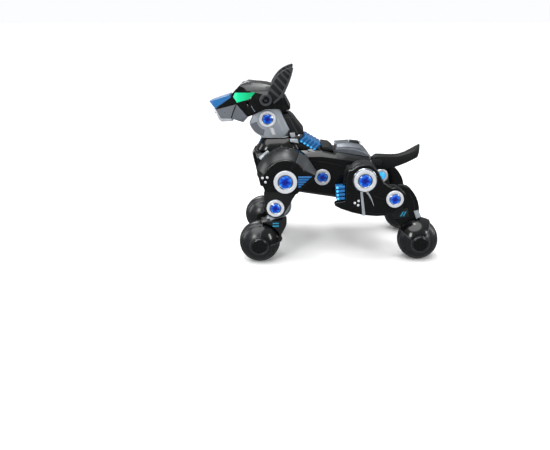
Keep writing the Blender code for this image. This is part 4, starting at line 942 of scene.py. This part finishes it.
def addEar():
    body = "ear_left"
    web = near("ear", ear["front"] + ear["rear"][::-1])
    pair(soften(plate(web, -37.8, -40.0), 0.4), "earWeb_left", "grainAbs", body, ["ear_left"])
    pair(soften(plate(near("ear", earStrip(1.0, 0.84)), -36.7, -41.6), 0.7, 3), "earRim_left", "greyAbs", body)
    pair(soften(plate(near("ear", earStrip(0.0, 0.10)), -37.0, -41.2), 0.5, 2), "earEdge_left", "greyAbs", body)
    ribs = []
    for i in range(ear["ribs"]):
        t = ear["firstRib"] + ear["ribStep"] * i
        rib = [onEar(t + 0.04, 0.08), onEar(t + 0.09, 0.08), onEar(t + 0.05, 0.86), onEar(t, 0.86)]
        ribs.append(soften(plate(near("ear", rib), -37.2, -41.2), 0.4))
    pair(joined(ribs), "earRibs_left", "greyAbs", body)
    tip = near("ear", [onEar(0.86, 0.05), onEar(1.0, 0.0), onEar(1.0, 0.9), onEar(0.80, 0.88)])
    pair(soften(plate(tip, -37.2, -41.0), 0.4), "earTip_left", "greyAbs", body)
    ring = turned([(6.2, -41.0), (6.4, -43.2), (7.2, -44.0), (9.4, -43.8), (10.5, -42.6), (10.5, -36.8),
                   (6.2, -36.8)], pivots["ear"], 56)
    pair(ring, "earRing_left", "greyAbs", body)
    hub = turned([(0.0, -36.8), (6.1, -36.8), (6.1, -41.6), (5.2, -42.0), (2.4, -42.0), (1.6, -41.4),
                  (0.0, -41.2)], pivots["ear"], 40)
    pair(hub, "earHub_left", "glossAbs", body)


addHead()
addEar()
print("head done")


chestPanels = {  # name: corners as y and z, lift off the sloping chest, finish
    "chestKeel": ([(-9.6, 178.0), (9.6, 178.0), (5.6, 125.0), (-5.6, 125.0)], 2.4, "platinumPaint"),
    "chestCorner_left": ([(-25.0, 178.0), (-11.2, 178.0), (-9.6, 160.0), (-13.0, 157.0), (-25.0, 162.0)],
                         0.9, "gunmetalPaint"),
    "chestVent_left": ([(-21.5, 173.5), (-15.5, 173.5), (-15.0, 170.6), (-21.0, 170.6)], 1.2, "glossAbs"),
    "chestWindow_left": ([(-22.6, 157.6), (-18.0, 154.8), (-15.6, 150.0), (-13.6, 128.0), (-19.0, 126.0),
                          (-22.6, 134.0)], 0.3, "tealWindow"),
    "chestInlay_left": ([(-12.6, 154.0), (-9.4, 157.0), (-6.8, 126.0), (-12.0, 126.0)], 0.5, "satinAbs"),
}


def addChest():
    base = [(-121.6, 181.4), (-123.0, 178.0), (-111.2, 119.6), (-108.0, 118.0), (-105.6, 118.6), (-119.4, 181.4)]
    settle(soften(plate(base, -26.0, 26.0), 0.8, 3), "chestBase", "glossAbs", "torso", ["chest_plate"])
    for name, (corners, lift, finish) in chestPanels.items():
        rings = [[(-123.0 + (178.0 - z) * 0.202 - rise, y, z) for y, z in corners] for rise in (-0.4, lift)]
        (pair if "left" in name else settle)(soften(loft(rings), 0.4), name, finish, "torso")


def addBack():
    saddle = [(79.0, -31.0, 170.2), (80.0, -36.0, 164.0), (76.0, -41.0, 161.8), (24.0, -41.0, 171.4),
              (20.0, -35.0, 176.4), (24.0, -31.0, 180.4)]
    pair(soften(slab(saddle, 0.9), 0.5), "saddle_left", "satinAbs", "torso")
    ridge = trimLine([(-40.0, -42.0, 171.0), (-10.0, -42.0, 167.6), (34.0, -42.0, 158.6)], 1.2, 0.5)
    pair(ridge, "flankRidge_left", "satinAbs", "torso")
    yoke = [(-96.7, -38.0, 186.6), (-112.4, -40.6, 174.4), (-105.2, -43.4, 166.6), (-99.0, -43.0, 175.4),
            (-92.0, -39.6, 182.6)]
    pair(soften(slab(yoke, 1.6), 0.5), "yokeFacet_left", "silverPaint", "torso")
    cheek = [(-58.2, -31.0, 205.0), (-57.4, -33.2, 199.6), (-43.0, -33.4, 197.2), (-45.0, -29.6, 204.4)]
    pair(soften(slab(cheek, 1.4), 0.4), "collarCheek_left", "silverPaint", "torso")
    lip = [(22.6, -21.6, 184.4), (36.0, -21.9, 184.6), (55.0, -21.9, 183.6), (72.0, -21.9, 178.0), (81.4, -21.6, 173.2)]
    pair(trimLine(lip, 1.6, 0.8), "switchLip_left", "silverPaint", "torso")
    brow = trimLine([(22.6, -15.0, 191.2), (22.6, 15.0, 191.2)], 2.2, 0.6, (-0.8, 0.0, 0.6))
    settle(brow, "switchLip_front", "silverPaint", "torso")
    for name, outline in (
        ("buttonFrame_front", [(45.8, 193.0), (45.8, 195.0), (47.4, 195.6), (47.4, 192.6)]),
        ("buttonFrame_rear", [(66.6, 191.6), (66.6, 193.6), (68.2, 192.6), (68.2, 190.6)]),
    ):
        settle(soften(plate(outline, -8.0, 8.0), 0.3), name, "silverPaint", "torso")
    seam = trimLine([(82.6, -21.0, 170.4), (82.6, 21.0, 170.4)], 1.0, 0.5, (0.6, 0.0, 0.8))
    settle(seam, "tailSeam", "silverPaint", "torso")
    seam = trimLine([(82.6, -21.0, 170.4), (83.4, -34.0, 165.0), (84.2, -41.6, 157.0)], 1.0, 0.5, (0.8, -0.5, 0.5))
    pair(seam, "rumpSeam_left", "silverPaint", "torso")


tailShape = {  # outline from the tail's pivot
    "upper": [(4.0, 13.4), (18.0, 12.4), (30.0, 12.4), (39.0, 13.8), (48.0, 17.0), (57.0, 21.6), (66.0, 27.0),
              (74.0, 31.2)],
    "lower": [(74.2, 28.0), (73.6, 21.0), (71.0, 10.0), (62.0, 3.6), (51.5, -2.6), (38.0, -8.0), (24.5, -12.4),
              (8.0, -15.0)],
    "ridges": 11, "firstRidge": 0.12, "ridgeStep": 0.076,
}


def addTail():
    x, z = pivots["tail"]
    base = arcPoints((0.0, 0.0), 14.0, 250.0, 105.0, 19)
    outline = near("tail", base + tailShape["upper"] + tailShape["lower"])
    middle = (x + 30.0, z + 4.0)
    narrow = [(middle[0] + (px - middle[0]) * 0.97, middle[1] + (pz - middle[1]) * 0.72) for px, pz in outline]
    blade = loft([level(narrow, -8.6), level(outline, -4.0), level(outline, 4.0), level(narrow, 8.6)])
    settle(soften(blade, 0.7, 2, 40.0), "tailBlade", "grainAbs", "tail", ["tail"], 50.0)
    ribs = []
    for i in range(tailShape["ridges"]):
        share = tailShape["firstRidge"] + tailShape["ridgeStep"] * i
        px = x + 6.0 + 66.0 * share
        top = z + (12.2 if share < 0.5 else 12.2 + (share - 0.5) * 36.0)
        ridge = [(px, top - 1.0), (px + 2.6, top + 0.9), (px + 3.6, top + 0.6), (px + 3.0, top - 1.6)]
        ribs.append(soften(plate(ridge, -5.0, 5.0), 0.3))
    settle(joined(ribs), "tailRidges", "satinAbs", "tail")


addChest()
addBack()
addTail()
print("body done")


innerFinishes = {  # inner pieces keep their solids
    "battery_pack": "shrinkWrap", "circuit_board": "solderMask", "speaker": "stampedSteel",
    "gearbox_front": "innerAbs", "gearbox_rear": "innerAbs",
}
for node, finish in innerFinishes.items():
    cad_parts[node].data.materials.clear()
    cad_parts[node].data.materials.append(finishes[finish])


lights = {  # name: place and aim in metres, width and height, power in watts
    "keyBox": ((-0.72, -1.12, 0.62), (0.0, 0.0, 0.12), (0.28, 0.46), 6.0),
    "leftBox": ((-1.35, 0.10, 0.50), (0.0, 0.0, 0.12), (0.50, 0.80), 4.5),
    "sideBox": ((1.05, -0.90, 0.55), (0.05, 0.0, 0.12), (0.18, 0.60), 5.0),
    "rightBox": ((1.45, 0.25, 0.50), (0.0, 0.0, 0.12), (0.40, 0.80), 4.5),
    "topBox": ((-0.05, 0.15, 1.25), (-0.05, 0.0, 0.15), (0.16, 0.70), 3.5),
    "backBox": ((-0.5, 1.2, 0.9), (0.0, 0.0, 0.15), (0.40, 0.60), 4.0),
}
ceiling = {"power": 2.6, "spread": 60.0, "turn": (14.0, -12.0)}


def addLight(name, place, aim, size, power):
    deselect()
    bpy.ops.object.light_add(type="AREA", location=place)
    lamp = bpy.context.object
    lamp.name = name
    lamp.rotation_euler = (Vector(place) - Vector(aim)).to_track_quat("Z", "Y").to_euler()
    lamp.data.shape = "RECTANGLE"
    lamp.data.size, lamp.data.size_y = size
    lamp.data.energy = power


def addStudio():
    deselect()
    bpy.ops.mesh.primitive_plane_add(size=120.0, location=(0.0, 0.0, 0.0))
    floor = bpy.context.object
    floor.name = "studioFloor"
    finish, tree, shader = newFinish("paperFloor", **{"Roughness": 0.9, "Specular IOR Level": 0.1})
    place = addNode(tree, "ShaderNodeTexCoord")
    fibre = addNode(tree, "ShaderNodeTexNoise", {"Vector": place.outputs["Object"], "Scale": 40.0})
    tint = addNode(tree, "ShaderNodeMix", {
        0: fibre.outputs["Fac"], 6: linear("#f6f6f6"), 7: linear("#fbfbfb")}, data_type="RGBA")
    tree.links.new(tint.outputs[2], shader.inputs["Base Color"])
    floor.data.materials.append(finish)
    floor.visible_glossy = False
    # the backdrop is white to the eye but shines on the toy only softly, so black plastic stays black
    world = bpy.data.worlds.new("studio")
    bpy.context.scene.world = world
    world.use_nodes = True
    tree = world.node_tree
    seen = addNode(tree, "ShaderNodeLightPath")
    place = addNode(tree, "ShaderNodeTexCoord")
    axis = addNode(tree, "ShaderNodeSeparateXYZ", {"Vector": place.outputs["Generated"]})
    fade = addNode(tree, "ShaderNodeMapRange", {
        "Value": axis.outputs["Z"], "From Min": 0.0, "From Max": 0.9, "To Min": 0.16, "To Max": 0.55})
    power = addNode(tree, "ShaderNodeMix", {
        0: seen.outputs["Is Camera Ray"], 2: fade.outputs["Result"], 3: 1.0}, data_type="FLOAT")
    sky = tree.nodes["Background"]
    sky.inputs["Color"].default_value = linear("#fcfdff")
    tree.links.new(power.outputs[0], sky.inputs["Strength"])
    deselect()
    tilt, roll = (math.radians(turn) for turn in ceiling["turn"])
    bpy.ops.object.light_add(type="SUN", rotation=(tilt, roll, 0.0))
    sun = bpy.context.object
    sun.name = "ceiling"
    sun.data.energy = ceiling["power"]
    sun.data.angle = math.radians(ceiling["spread"])
    for name, values in lights.items():
        addLight(name, *values)
    bpy.context.scene.view_settings.view_transform = "Standard"


addStudio()
